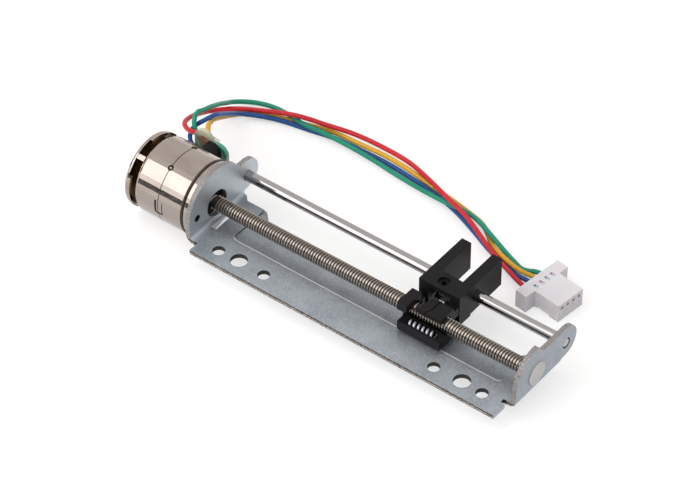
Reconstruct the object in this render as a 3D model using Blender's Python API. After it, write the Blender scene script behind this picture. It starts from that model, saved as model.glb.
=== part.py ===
"""Micro linear stepper motor: a tin-can stepper that turns a lead screw along a bent sheet bracket.

The slider rides on the lead screw and on a guide rod beside it. Four wires run from the motor's
terminal board to a small connector.

Metres, +Z up. X runs along the lead screw from the motor to the far plate, and Y points away from
the mounting flange. The functions work from the inner face of the motor plate, below the screw's
axis and level with the flange's underside. At the end everything is placed so that the origin is on
that underside, halfway along the line of mounting holes.
"""
import math

import bmesh
import bpy
from mathutils import Matrix, Vector

# Bracket sheet
SHEET = 0.0010
BEND_RADIUS = 0.0008
FRAME_LENGTH = 0.0720
FLANGE_REACH = 0.01045
BASE_BACK = 0.0040
FLANGE_START = 0.0018
FLANGE_END = 0.0008
RELIEF_WIDTH = 0.0009
RELIEF_DEPTH = 0.0009
TAB_BACK = 0.0066
TAB_LENGTH = 0.0066
AXIS_HEIGHT = 0.00325

# Pressed channel under the screw
CHANNEL_DEPTH = 0.0003
CHANNEL_FRONT = 0.0030
CHANNEL_START = 0.0060
CHANNEL_END = 0.0045
CHANNEL_CORNER = 0.0012

# Holes along the mounting flange
HOLE_LINE = 0.00725
LARGE_HOLE_SHIFT = 0.00025
SMALL_HOLE = 0.00245
LARGE_HOLE = 0.0034
HOLE_START_MOTOR = 0.0062
HOLE_START_FAR = 0.0056
HOLE_PITCH_OUTER = 0.0046
HOLE_PITCH_INNER = 0.00605

# End plates, measured from the screw's axis
MOTOR_PLATE_RADIUS = 0.0081
FAR_PLATE_RADIUS = 0.0061
PLATE_BACK = 0.0077
NECK_FILLET = 0.0006
EAR_RADIUS = 0.00335
SHOULDER_TURN = 86
SHOULDER_SHARE = 0.46
SHOULDER_FILLET = 0.0020
EAR_Y = 0.00895
EAR_RISE = 0.00075
SCREW_HOLE = 0.0057
PIN_HOLE = 0.0015
PIN_HOLE_Y = 0.0058
PIN_HOLE_RISE = 0.0003
BEND_SLOT_HALF = 0.0031
BEND_SLOT_START = 0.0009
BEND_SLOT_END = 0.00215

# Clearances
RUNNING = 0.00005
SEAT = 0.00005
FIT = 0.0001
AIR_GAP = 0.00025
CORD_GAP = 0.0003

# Guide rod
ROD_DIAMETER = 0.0022
ROD_Y = 0.00917
ROD_RISE = 0.0003
ROD_CHAMFER = 0.0003
ROD_RECESS = 0.0001

# Lead screw
SCREW_DIAMETER = 0.0030
SCREW_START = 0.0009
SCREW_STOP = 0.0018
JOURNAL_DIAMETER = 0.0020
JOURNAL_END = 0.0004

# End bush
BUSH_DIAMETER = 0.0048
BUSH_COLLAR = 0.0053
BUSH_COLLAR_THICKNESS = 0.0008
BUSH_PROUD = 0.00015

# Motor can
CAN_RADIUS = 0.00775
FLANGE_RADIUS = 0.0076
CAN_WALL = 0.0005
END_WALL = 0.0006
CAN_EDGE = 0.0005
FLANGE_THICKNESS = 0.0010
FRONT_CUP_LENGTH = 0.00585
REAR_CUP_LENGTH = 0.0056
CAP_LENGTH = 0.0025
CAP_WALL = 0.0006
CAP_RIM = 0.0006
CAP_LEGS = 3
CAP_LEG_WIDTH = 0.0010
CAP_LEG_TURN = math.radians(123.5)
CAP_GAP_ANGLE = math.radians(58)
CAP_NARROW = 0.0008
CAP_WIDE = 0.0013
CAP_SLIT = 0.0002

# Marks on the can: pressed dimples on the seam, and a tongue cut out of the front
DIMPLE_RADIUS = 0.0008
DIMPLE_DEPTH = 0.00025
DIMPLE_TURNS = (117, 64)
TONGUE_BACK = 0.0006
TONGUE_FRONT = 0.0009
TONGUE_HALF_HEIGHT = 0.0014
TONGUE_SLOT = 0.00018

# Stator inside the can
CLAWS = 5
CLAW_INNER = 0.0034
CLAW_THICKNESS = 0.0004
CLAW_ROOT_ANGLE = math.radians(27)
CLAW_TIP_ANGLE = math.radians(13)
CLAW_TIP_GAP = 0.0006
YOKE_THICKNESS = 0.0006
BOBBIN_WALL = 0.0003
BOBBIN_RADIUS = 0.0067
WINDING_RADIUS = 0.0064

# Rotor inside the can
MAGNET_RADIUS = 0.0031
MAGNET_BORE = 0.0036
MAGNET_LENGTH = 0.0084
FRONT_BEARING_RADIUS = 0.0028
FRONT_BEARING_LENGTH = 0.0017
FRONT_BEARING_RECESS = 0.0003
HUB_COLLAR = 0.0003
REAR_BEARING_RADIUS = 0.0016
REAR_BEARING_LENGTH = 0.0014
BEARING_PLATE_RADIUS = 0.0064
BEARING_PLATE_THICKNESS = 0.0006
THRUST_SPRING_RADIUS = 0.0026
THRUST_SPRING_THICKNESS = 0.00015

# Terminal block and board at the back of the can
TERMINAL_X = -0.0080
BLOCK_HALF_WIDTH = 0.00175
BLOCK_HALF_HEIGHT = 0.0045
BOARD_FRONT = 0.0090
BOARD_THICKNESS = 0.0008
BOARD_LOW = 0.0040
LEFT_LOBE_RADIUS = 0.0022
LEFT_LOBE_X = -0.0025
LEFT_LOBE_RISE = 0.0037
RIGHT_LOBE_RADIUS = 0.0019
RIGHT_LOBE_X = 0.0011
RIGHT_LOBE_RISE = 0.0022
PIN_DIAMETER = 0.0005
PIN_SPACING_X = 0.0017
PIN_SPACING_Z = 0.0020
PIN_STAND = 0.0004
PIN_DEPTH = 0.0011

# Slider body
SLIDER_START = 0.0440
SLIDER_WIDTH = 0.00915
SLIDER_FRONT = 0.0039
PLATE_REAR = 0.0077
ARM_TIP = 0.0171
SLIDER_TOP = 0.0035
TOP_THICKNESS = 0.0011
ARM_BOTTOM = 0.0030
ARM_THICKNESS = 0.0022
ARM_TIP_THICKNESS = 0.0021
FOOT_DEPTH = 0.0006
FOOT_FRONT = 0.0045
FOOT_BACK = 0.0076
STEP_HOLE_X = 0.0042
STEP_HOLE_Y = 0.0059
STEP_HOLE = 0.0024
THROUGH_HOLE = 0.0011
STEP_HOLE_DEPTH = 0.0005
FIXED_JAW_LENGTH = 0.00295
JAW_FRONT = 0.0016
JAW_TOP = 0.0023
JAW_LIP = 0.00125
JAW_BOTTOM = 0.0006
JAW_SHELF_BACK = 0.00225
JAW_SHELF_DROP = 0.0009
JAW_BORE_CLEARANCE = 0.00015
JAW_NOSE = 0.00065
JAW_NOSE_BACK = 0.0005
JAW_GAP = 0.0002

# Nut jaw and nut carrier
NUT_JAW_LENGTH = 0.0020
NUT_JAW_SLANT = 0.33
NUT_JAW_BACK = 0.0032
SADDLE_LENGTH = 0.0021
SADDLE_FRONT = 0.0025
SADDLE_BACK = 0.0020
SADDLE_SKIRT = 0.0006
TRAY_START = 0.0009
TRAY_LENGTH = 0.0094
TRAY_FRONT = 0.00385
TRAY_BACK = 0.0007
TRAY_TOP = -0.0008
TRAY_BOTTOM = -0.0028
FLOOR_TOP = -0.0018
CARRIER_BACK = 0.0031
CARRIER_WALL = 0.0010
POCKET_START = 0.0015
POCKET_LENGTH = 0.0064
POCKET_FRONT = 0.0034
POCKET_BACK = 0.0017
POCKET_DEPTH = 0.0015

# Springs on the slider
PRELOAD_WIRE = 0.0004
PRELOAD_DIAMETER = 0.00165
PRELOAD_TURNS = 5
JAW_WIRE = 0.00026
JAW_COIL_DIAMETER = 0.0016
JAW_COIL_TURNS = 3
JAW_COIL_PITCH = 0.00034
JAW_COIL_Y = 0.0058
JAW_COIL_Z = 0.0010

# Wires: outer diameter, and routes as (x, y, height above the resting level) in millimetres
MM = 0.001
WIRE_DIAMETER = 0.00098
WIRE_SAMPLES = 50
WIRE_END = 0.0014
WIRE_OVERLAP = 0.0006
RED_ROUTE = [
    (-12.2, 11.1, 10.3), (-14.4, 11.3, 9.5), (-16.4, 11.7, 8.8), (-18.7, 13.1, 8.2),
    (-20.0, 16.1, 7.0), (-20.7, 18.9, 5.4), (-21.4, 21.6, 3.6), (-21.9, 24.3, 1.9), (-20.3, 27.0, 1.4),
    (-17.5, 28.8, 1.7), (-14.6, 30.5, 1.7), (-11.6, 31.7, 2.0), (-8.4, 32.5, 2.6), (-5.2, 33.5, 2.6),
    (-2.1, 34.6, 2.1), (4.3, 36.4, 1.6), (10.9, 36.9, 1.4), (17.5, 36.4, 1.5), (23.9, 34.4, 1.9),
    (30.0, 31.9, 2.5), (33.2, 30.9, 2.5), (36.3, 30.0, 2.0), (42.3, 27.1, 1.6), (45.3, 25.7, 1.4),
    (48.3, 24.3, 1.6), (51.3, 22.9, 1.9),
]
GREEN_ROUTE = [
    (-11.0, 11.9, 4.4), (-13.4, 12.8, 6.2), (-15.5, 12.7, 8.4), (-16.5, 13.3, 9.9),
    (-17.1, 14.8, 10.4), (-17.3, 16.6, 9.7), (-17.8, 19.3, 8.5), (-18.5, 22.0, 6.8),
    (-19.2, 24.7, 5.0), (-19.9, 27.2, 3.1), (-20.0, 30.0, 1.4), (-17.9, 32.2, 0.9), (-14.8, 33.2, 1.1),
    (-11.6, 33.5, 1.3), (-8.4, 33.1, 1.5), (-5.1, 32.7, 1.6), (-1.9, 33.1, 1.5), (4.7, 33.4, 1.2),
    (11.2, 33.2, 1.0), (17.7, 32.6, 0.9), (24.3, 32.0, 1.1), (30.8, 31.6, 1.5), (34.1, 31.8, 1.5),
    (37.2, 31.4, 1.5), (40.2, 30.1, 1.7), (43.2, 28.8, 1.7), (46.3, 27.7, 1.3), (49.3, 26.4, 1.5),
    (52.2, 25.3, 1.8),
]
BLUE_ROUTE = [
    (-12.2, 11.2, 5.8), (-14.8, 11.3, 5.7), (-16.6, 11.9, 7.0), (-16.8, 13.8, 8.0), (-15.5, 15.2, 9.3),
    (-14.7, 16.7, 9.8), (-15.2, 19.0, 8.3), (-15.7, 21.4, 6.5), (-16.2, 23.8, 4.6), (-16.5, 26.2, 2.8),
    (-15.8, 28.6, 1.3), (-13.2, 30.1, 1.1), (-10.5, 31.4, 0.8), (-7.6, 32.3, 0.6), (-4.6, 32.9, 0.5),
    (1.4, 34.1, 0.5), (7.5, 34.4, 0.5), (13.6, 34.5, 0.5), (19.6, 34.0, 0.5), (25.7, 33.2, 0.5),
    (31.6, 31.8, 0.5), (37.3, 29.6, 0.5), (42.9, 27.1, 0.5), (45.8, 26.1, 0.5), (48.6, 25.1, 0.9),
    (51.4, 23.9, 1.3),
]
YELLOW_ROUTE = [
    (-10.6, 11.5, 8.6), (-12.6, 12.8, 9.6), (-13.9, 14.7, 9.6), (-14.9, 16.7, 8.3), (-16.1, 18.7, 6.8),
    (-17.1, 21.1, 4.9), (-18.0, 23.5, 3.0), (-18.3, 26.1, 1.4), (-17.4, 28.8, 0.5), (-14.7, 30.5, 0.5),
    (-11.9, 32.0, 0.5), (-8.9, 33.0, 0.5), (-5.9, 33.9, 0.5), (0.3, 35.3, 0.6), (6.6, 35.2, 1.1),
    (13.0, 35.4, 1.2), (19.3, 35.1, 0.9), (25.5, 34.3, 0.6), (31.8, 33.3, 0.6), (38.0, 31.9, 0.6),
    (40.6, 30.2, 0.6), (43.1, 28.2, 0.8), (45.8, 26.6, 1.4), (48.7, 25.5, 1.8), (51.7, 24.4, 2.2),
]

# Connector housing: middle of its rear face, turn about Z, and sizes along (u) and across (v)
HOUSING_X = 0.0563
HOUSING_Y = 0.0238
HOUSING_TURN = math.radians(-7.5)
HOUSING_LENGTH = 0.0085
HOUSING_HEIGHT = 0.0040
HOUSING_WIDTH = 0.0066
HOUSING_FLANGE_LENGTH = 0.0026
HOUSING_FLANGE_WIDTH = 0.0113
WAYS = 4
WAY_PITCH = 0.0015
WIRE_BORE = 0.00125
WIRE_BORE_DEPTH = 0.0020
CHAMBER = 0.0011
CONTACT = 0.0009
CONTACT_LENGTH = 0.0052
CONTACT_BARREL = 0.0006
LATCH_WINDOW_LENGTH = 0.0012
LATCH_WINDOW_WIDTH = 0.0007
LATCH_WINDOW_START = 0.00135
MOUTH = 0.0007
MOUTH_RISE = 0.00085
MOUTH_WALL = 0.0007
UNDERCUT = 0.0004
UNDERCUT_START = 0.0032
UNDERCUT_STOP = 0.0063

# Facets of round shapes
LARGE_SEGMENTS = 48
ROUND_SEGMENTS = 24
HOLE_SEGMENTS = 24
SMALL_SEGMENTS = 16
ARC_SEGMENTS = 10
BEND_SEGMENTS = 4

AXIS_Z = SHEET + AXIS_HEIGHT
REST_Z = AXIS_Z - CAN_RADIUS
ROD_Z = AXIS_Z + ROD_RISE
SCREW_RADIUS = SCREW_DIAMETER / 2
JOURNAL_RADIUS = JOURNAL_DIAMETER / 2
PRISM_MARGIN = 0.001

ROTOR = ("lead_screw", "rotor_magnet", "rotor_hub")

X_AXIS = Vector((1, 0, 0))
Y_AXIS = Vector((0, 1, 0))
Z_AXIS = Vector((0, 0, 1))


def clear_scene():
    """Removes the objects that the scene starts with."""
    for old in list(bpy.data.objects):
        bpy.data.objects.remove(old, do_unlink=True)


def make_material(name, colour, roughness, metallic):
    """Returns a Principled material."""
    material = bpy.data.materials.new(name)
    material.use_nodes = True
    shader = material.node_tree.nodes["Principled BSDF"]
    shader.inputs["Base Color"].default_value = (*colour, 1.0)
    shader.inputs["Roughness"].default_value = roughness
    shader.inputs["Metallic"].default_value = metallic
    return material


def add_object(name, bm, material):
    """Turns a bmesh into a named object with sharp and smooth edges."""
    bmesh.ops.remove_doubles(bm, verts=bm.verts, dist=1e-7)
    bmesh.ops.recalc_face_normals(bm, faces=bm.faces)
    mesh = bpy.data.meshes.new(name)
    bm.to_mesh(mesh)
    bm.free()
    mesh.shade_smooth()
    mesh.set_sharp_from_angle(angle=math.radians(35))
    thing = bpy.data.objects.new(name, mesh)
    bpy.context.scene.collection.objects.link(thing)
    mesh.materials.append(material)
    return thing


def combine(target, operation, *tools):
    """Applies Boolean operations to an object and removes the tools."""
    for tool in tools:
        modifier = target.modifiers.new("boolean", "BOOLEAN")
        modifier.operation = operation
        modifier.object = tool
        modifier.solver = "EXACT"
        view = bpy.context.evaluated_depsgraph_get()
        mesh = bpy.data.meshes.new_from_object(target.evaluated_get(view))
        target.modifiers.remove(modifier)
        old = target.data
        target.data = mesh
        mesh.name = target.name
        bpy.data.meshes.remove(old)
        bpy.data.objects.remove(tool, do_unlink=True)
    tidy_mesh(target)
    return target


def tidy_mesh(target):
    """Merges the points that a Boolean leaves on one spot, and splits its many-sided faces."""
    bm = bmesh.new()
    bm.from_mesh(target.data)
    bmesh.ops.remove_doubles(bm, verts=bm.verts, dist=2e-6)
    bmesh.ops.dissolve_degenerate(bm, edges=bm.edges, dist=1e-6)
    many_sided = [face for face in bm.faces if len(face.verts) > 4]
    bmesh.ops.triangulate(bm, faces=many_sided)
    bm.to_mesh(target.data)
    bm.free()
    target.data.set_sharp_from_angle(angle=math.radians(35))


def prism(name, outline, along, low, high, material):
    """Extrudes an outline along an axis.

    The outline's points are (x, y) along Z, (x, z) along Y and (y, z) along X.
    """
    bm = bmesh.new()
    places = {
        "X": lambda a, b: (low, a, b),
        "Y": lambda a, b: (a, low, b),
        "Z": lambda a, b: (a, b, low),
    }
    direction = {"X": X_AXIS, "Y": Y_AXIS, "Z": Z_AXIS}[along]
    corners = [bm.verts.new(places[along](a, b)) for a, b in outline]
    face = bm.faces.new(corners)
    grown = bmesh.ops.extrude_face_region(bm, geom=[face])
    moved = [v for v in grown["geom"] if isinstance(v, bmesh.types.BMVert)]
    bmesh.ops.translate(bm, verts=moved, vec=direction * (high - low))
    return add_object(name, bm, material)


def box(name, x_range, y_range, z_range, material):
    """A plain block between three pairs of limits."""
    (x0, x1), (y0, y1) = x_range, y_range
    outline = [(x0, y0), (x1, y0), (x1, y1), (x0, y1)]
    return prism(name, outline, "Z", z_range[0], z_range[1], material)


def arc(centre, radius, start, stop, steps):
    """Points on a round stretch from one angle to another, in degrees."""
    points = []
    for i in range(steps + 1):
        angle = math.radians(start + (stop - start) * i / steps)
        points.append((centre[0] + radius * math.cos(angle), centre[1] + radius * math.sin(angle)))
    return points


def circle(centre, radius, segments):
    """A full circle as an outline."""
    return arc(centre, radius, 0, 360, segments)[:-1]


def lathe(name, profile, material, segments=ROUND_SEGMENTS, centre=(0.0, AXIS_Z)):
    """Spins a closed profile of (x, radius) points about an axis along X."""
    bm = bmesh.new()
    corners = [bm.verts.new((x, centre[0], centre[1] + radius)) for x, radius in profile]
    edges = [bm.edges.new((corners[i], corners[(i + 1) % len(corners)])) for i in range(len(corners))]
    if min(radius for _, radius in profile) <= 0.0:
        edges = [e for e in edges if max(v.co.z for v in e.verts) > centre[1]]
    bmesh.ops.spin(
        bm,
        geom=corners + edges,
        cent=(0, centre[0], centre[1]),
        axis=(1, 0, 0),
        angle=2 * math.pi,
        steps=segments,
        use_merge=True,
    )
    loose = [v for v in bm.verts if not v.link_faces]
    bmesh.ops.delete(bm, geom=loose, context="VERTS")
    return add_object(name, bm, material)


def ring(name, x_range, inner, outer, material, segments=ROUND_SEGMENTS, centre=(0.0, AXIS_Z)):
    """A plain washer or sleeve."""
    x0, x1 = x_range
    profile = [(x0, inner), (x0, outer), (x1, outer), (x1, inner)]
    return lathe(name, profile, material, segments, centre)


def rod(name, x_range, radius, material, segments=HOLE_SEGMENTS, centre=(0.0, AXIS_Z)):
    """A plain cylinder along X."""
    return prism(name, circle(centre, radius, segments), "X", x_range[0], x_range[1], material)


def wire(name, points, diameter, material, resolution=2):
    """A round wire through the points."""
    curve = bpy.data.curves.new(name, "CURVE")
    curve.dimensions = "3D"
    curve.bevel_depth = diameter / 2
    curve.bevel_resolution = resolution
    curve.use_fill_caps = True
    curve.render_resolution_u = 0
    spline = curve.splines.new("POLY")
    spline.points.add(len(points) - 1)
    for slot, place in zip(spline.points, points):
        slot.co = (*place, 1.0)
    thing = bpy.data.objects.new(name, curve)
    bpy.context.scene.collection.objects.link(thing)
    curve.materials.append(material)
    return thing


def plate_outline(radius, low, full_head):
    """Outline of an end plate in Y and Z: a round head over the screw, and an ear for the rod.

    A full head runs round until it meets the top of the ear, the other one turns into it sooner.
    """
    ear_top = EAR_RISE + EAR_RADIUS
    ear_bottom = EAR_RISE - EAR_RADIUS
    shoulder = (radius * SHOULDER_SHARE, AXIS_Z + ear_top + SHOULDER_FILLET)
    points = [(-radius, low)]
    if full_head:
        meeting = math.degrees(math.asin(ear_top / radius))
        points += arc((0, AXIS_Z), radius, 180, meeting, 2 * ARC_SEGMENTS)
    else:
        points += arc((0, AXIS_Z), radius, 180, SHOULDER_TURN, 2 * ARC_SEGMENTS)
        points += arc(shoulder, SHOULDER_FILLET, 228, 270, 4)
    points += arc((EAR_Y, AXIS_Z + EAR_RISE), EAR_RADIUS, 90, -90, ARC_SEGMENTS)
    neck = (PLATE_BACK + NECK_FILLET, AXIS_Z + ear_bottom - NECK_FILLET)
    points += arc(neck, NECK_FILLET, 90, 180, 4)
    points.append((PLATE_BACK, low))
    return points


def base_outline():
    """Outline of the flat base in X and Y, between the two bends."""
    left = 0.0
    right = FRAME_LENGTH
    flange_right = FRAME_LENGTH - FLANGE_END
    tab = TAB_BACK - BASE_BACK
    relief = FAR_PLATE_RADIUS + RELIEF_WIDTH
    far_tab = FRAME_LENGTH - TAB_LENGTH + tab
    return [
        (left, -MOTOR_PLATE_RADIUS),
        (FLANGE_START, -MOTOR_PLATE_RADIUS),
        (FLANGE_START, -FLANGE_REACH),
        (flange_right, -FLANGE_REACH),
        (flange_right, -relief),
        (flange_right - RELIEF_DEPTH, -relief),
        (flange_right - RELIEF_DEPTH, -FAR_PLATE_RADIUS),
        (right, -FAR_PLATE_RADIUS),
        (right, PLATE_BACK),
        (far_tab + PLATE_BACK - TAB_BACK, PLATE_BACK),
        (far_tab - tab, BASE_BACK),
        (TAB_LENGTH + tab, BASE_BACK),
        (TAB_LENGTH, TAB_BACK),
        (BEND_RADIUS + PLATE_BACK - TAB_BACK, TAB_BACK),
        (BEND_RADIUS, PLATE_BACK),
        (left, PLATE_BACK),
    ]


def channel_outline(grow):
    """Rounded front edge of the pressed channel, in X and Y, open at the back of the base."""
    x0 = CHANNEL_START - grow
    x1 = FRAME_LENGTH - CHANNEL_END + grow
    y0 = -CHANNEL_FRONT - grow
    corner = CHANNEL_CORNER + grow
    back = PLATE_BACK + PRISM_MARGIN
    points = arc((x0 + corner, y0 + corner), corner, 180, 270, 5)
    points += arc((x1 - corner, y0 + corner), corner, 270, 360, 5)
    points += [(x1, back), (x0, back)]
    return points


def bent_sheet_profile(top):
    """Section of the whole sheet in X and Z: base, two bends and two upright plates."""
    inner = BEND_RADIUS
    outer = BEND_RADIUS + SHEET
    left = (inner, SHEET + inner)
    right = (FRAME_LENGTH - inner, SHEET + inner)
    points = [(-SHEET, top)]
    points += arc(left, outer, 180, 270, BEND_SEGMENTS)
    points += arc(right, outer, 270, 360, BEND_SEGMENTS)
    points += [(FRAME_LENGTH + SHEET, top), (FRAME_LENGTH, top)]
    points += arc(right, inner, 0, -90, BEND_SEGMENTS)
    points += arc(left, inner, 270, 180, BEND_SEGMENTS)
    points.append((0, top))
    return points


def flange_holes():
    """Centres and diameters of the six mounting holes."""
    motor_small = HOLE_START_MOTOR
    motor_large = motor_small + HOLE_PITCH_OUTER
    motor_inner = motor_large + HOLE_PITCH_INNER
    far_small = FRAME_LENGTH - HOLE_START_FAR
    far_large = far_small - HOLE_PITCH_OUTER
    far_inner = far_large - HOLE_PITCH_INNER
    large_line = HOLE_LINE - LARGE_HOLE_SHIFT
    return [
        (motor_small, -HOLE_LINE, SMALL_HOLE),
        (motor_large, -large_line, LARGE_HOLE),
        (motor_inner, -HOLE_LINE, SMALL_HOLE),
        (far_inner, -HOLE_LINE, SMALL_HOLE),
        (far_large, -large_line, LARGE_HOLE),
        (far_small, -HOLE_LINE, SMALL_HOLE),
    ]


def make_bracket(steel):
    """The bent sheet that carries everything."""
    top = AXIS_Z + MOTOR_PLATE_RADIUS + PRISM_MARGIN
    low = -CHANNEL_DEPTH - PRISM_MARGIN
    front = -FLANGE_REACH - PRISM_MARGIN
    back = EAR_Y + EAR_RADIUS + PRISM_MARGIN
    bracket = prism("bracket", bent_sheet_profile(top), "Y", front, back, steel)
    bulge = prism("bulge", channel_outline(CHANNEL_DEPTH), "Z", -CHANNEL_DEPTH, SHEET / 2, steel)
    channel = prism("channel", channel_outline(0.0), "Z", SHEET - CHANNEL_DEPTH, top, steel)
    combine(bracket, "UNION", bulge)
    combine(bracket, "DIFFERENCE", channel)
    keep = prism("keep", base_outline(), "Z", low, SHEET + BEND_RADIUS, steel)
    motor_end = prism(
        "motor_end", plate_outline(MOTOR_PLATE_RADIUS, low, True), "X", -SHEET - PRISM_MARGIN, BEND_RADIUS, steel
    )
    far_end = prism(
        "far_end",
        plate_outline(FAR_PLATE_RADIUS, low, False),
        "X",
        FRAME_LENGTH - BEND_RADIUS,
        FRAME_LENGTH + SHEET + PRISM_MARGIN,
        steel,
    )
    combine(keep, "UNION", motor_end, far_end)
    combine(bracket, "INTERSECT", keep)
    cutters = []
    for x, y, diameter in flange_holes():
        outline = circle((x, y), diameter / 2, HOLE_SEGMENTS)
        cutters.append(prism("hole", outline, "Z", low, SHEET + PRISM_MARGIN, steel))
    motor_side = (-SHEET - PRISM_MARGIN, PRISM_MARGIN)
    far_side = (FRAME_LENGTH - PRISM_MARGIN, FRAME_LENGTH + SHEET + PRISM_MARGIN)
    rod_hole = ROD_DIAMETER / 2 + RUNNING
    bush_hole = BUSH_DIAMETER / 2 + SEAT
    cutters.append(rod("screw_hole", motor_side, SCREW_HOLE / 2, steel, ROUND_SEGMENTS))
    cutters.append(rod("bush_hole", far_side, bush_hole, steel, ROUND_SEGMENTS))
    pin_centre = (-PIN_HOLE_Y, AXIS_Z + PIN_HOLE_RISE)
    cutters.append(rod("pin_hole", motor_side, PIN_HOLE / 2, steel, SMALL_SEGMENTS, pin_centre))
    for side in (motor_side, far_side):
        cutters.append(rod("rod_hole", side, rod_hole, steel, HOLE_SEGMENTS, (ROD_Y, ROD_Z)))
    slot_x = (BEND_SLOT_START, BEND_SLOT_END)
    slot_y = (-BEND_SLOT_HALF, BEND_SLOT_HALF)
    cutters.append(box("bend_slot", slot_x, slot_y, (low, SHEET + PRISM_MARGIN), steel))
    combine(bracket, "DIFFERENCE", *cutters)
    return bracket


def make_guide_rod(steel):
    """Polished rod with chamfered ends, in the two ears."""
    radius = ROD_DIAMETER / 2
    start = -SHEET + ROD_RECESS
    stop = FRAME_LENGTH + SHEET - ROD_RECESS
    face = radius - ROD_CHAMFER
    profile = [
        (start, 0.0),
        (start, face),
        (start + ROD_CHAMFER, radius),
        (stop - ROD_CHAMFER, radius),
        (stop, face),
        (stop, 0.0),
    ]
    return lathe("guide_rod", profile, steel, HOLE_SEGMENTS, (ROD_Y, ROD_Z))


def can_places():
    """Where each length of the motor begins and ends along X, from the bracket to the cap's end."""
    flange = (-SHEET - SEAT - FLANGE_THICKNESS, -SHEET - SEAT)
    front = (flange[0] - SEAT - FRONT_CUP_LENGTH, flange[0] - SEAT)
    rear = (front[0] - 2 * SEAT - REAR_CUP_LENGTH, front[0] - 2 * SEAT)
    cap = (rear[0] - SEAT - CAP_LENGTH, rear[0] - SEAT)
    return {"flange": flange, "front": front, "rear": rear, "cap": cap}


def claw_ring(name, root_x, tip_x, turn, material):
    """Claw poles round the rotor, wide at the root and narrow at the tip, as one mesh of pieces."""
    bm = bmesh.new()
    outer = CLAW_INNER + CLAW_THICKNESS
    steps = 3
    for k in range(CLAWS):
        middle = turn + 2 * math.pi * k / CLAWS
        layers = []
        for x, width in ((root_x, CLAW_ROOT_ANGLE), (tip_x, CLAW_TIP_ANGLE)):
            row = []
            for radius in (CLAW_INNER, outer):
                for i in range(steps + 1):
                    angle = middle - width / 2 + width * i / steps
                    row.append(
                        bm.verts.new((x, radius * math.cos(angle), AXIS_Z + radius * math.sin(angle)))
                    )
            layers.append(row)
        root, tip = layers
        count = steps + 1
        for i in range(steps):
            bm.faces.new((root[i], root[i + 1], tip[i + 1], tip[i]))
            bm.faces.new((root[count + i], root[count + i + 1], tip[count + i + 1], tip[count + i]))
            for row in layers:
                bm.faces.new((row[i], row[i + 1], row[count + i + 1], row[count + i]))
        for i in (0, steps):
            bm.faces.new((root[i], root[count + i], tip[count + i], tip[i]))
    return add_object(name, bm, material)


def terminal_window(name, grow, material):
    """Stadium-shaped cutter for the opening that the terminal block comes through."""
    half = BLOCK_HALF_WIDTH + grow
    rise = BLOCK_HALF_HEIGHT - BLOCK_HALF_WIDTH
    points = arc((TERMINAL_X, AXIS_Z + rise), half, 0, 180, ARC_SEGMENTS)
    points += arc((TERMINAL_X, AXIS_Z - rise), half, 180, 360, ARC_SEGMENTS)
    return prism(name, points, "Y", CAN_RADIUS / 2, CAN_RADIUS + PRISM_MARGIN, material)


def cup_profile(closed_x, open_x, hole):
    """Section of a drawn cup from its closed end to its open end."""
    direction = 1 if open_x > closed_x else -1
    inner = CAN_RADIUS - CAN_WALL
    wall = closed_x + direction * END_WALL
    return [
        (closed_x, hole),
        (closed_x, CAN_RADIUS - CAN_EDGE),
        (closed_x + direction * CAN_EDGE * 0.3, CAN_RADIUS - CAN_EDGE * 0.3),
        (closed_x + direction * CAN_EDGE, CAN_RADIUS),
        (open_x, CAN_RADIUS),
        (open_x, inner),
        (wall, inner),
        (wall, hole),
    ]


def make_stator_half(prefix, closed_x, open_x, turn, nickel, steel, plastic, copper):
    """One phase of the stator: cup with claws, yoke with claws, bobbin and winding."""
    direction = 1 if open_x > closed_x else -1
    wall = closed_x + direction * END_WALL
    yoke_in = open_x - direction * (SEAT + YOKE_THICKNESS)
    yoke_out = open_x - direction * SEAT
    overlap = direction * END_WALL / 2
    half_pitch = math.pi / CLAWS

    cup = lathe(prefix + "_cup", cup_profile(closed_x, open_x, CLAW_INNER), nickel, LARGE_SEGMENTS)
    cup_claws = claw_ring("claws", wall - overlap, yoke_in - direction * CLAW_TIP_GAP, turn, nickel)
    combine(cup, "UNION", cup_claws)
    combine(cup, "DIFFERENCE", terminal_window("window", FIT, nickel))
    seam_x = open_x + direction * SEAT
    combine(cup, "DIFFERENCE", *make_marks(seam_x, nickel))

    yoke_radius = CAN_RADIUS - CAN_WALL - FIT
    yoke_x = sorted((yoke_in, yoke_out))
    yoke = ring(prefix + "_yoke", yoke_x, CLAW_INNER, yoke_radius, steel)
    yoke_root = yoke_in + direction * YOKE_THICKNESS / 2
    yoke_claws = claw_ring("claws", yoke_root, wall + direction * CLAW_TIP_GAP, turn + half_pitch, steel)
    combine(yoke, "UNION", yoke_claws)
    combine(yoke, "DIFFERENCE", terminal_window("window", FIT, steel))

    spool_start, spool_stop = sorted((wall + direction * FIT, yoke_in - direction * FIT))
    spool_inner = CLAW_INNER + CLAW_THICKNESS + FIT
    spool_outer = spool_inner + BOBBIN_WALL
    spool = [
        (spool_start, spool_inner),
        (spool_start, BOBBIN_RADIUS),
        (spool_start + BOBBIN_WALL, BOBBIN_RADIUS),
        (spool_start + BOBBIN_WALL, spool_outer),
        (spool_stop - BOBBIN_WALL, spool_outer),
        (spool_stop - BOBBIN_WALL, BOBBIN_RADIUS),
        (spool_stop, BOBBIN_RADIUS),
        (spool_stop, spool_inner),
    ]
    lathe(prefix + "_bobbin", spool, plastic)
    coil_x = (spool_start + BOBBIN_WALL + SEAT, spool_stop - BOBBIN_WALL - SEAT)
    ring(prefix + "_winding", coil_x, spool_outer + SEAT, WINDING_RADIUS, copper)


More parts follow.
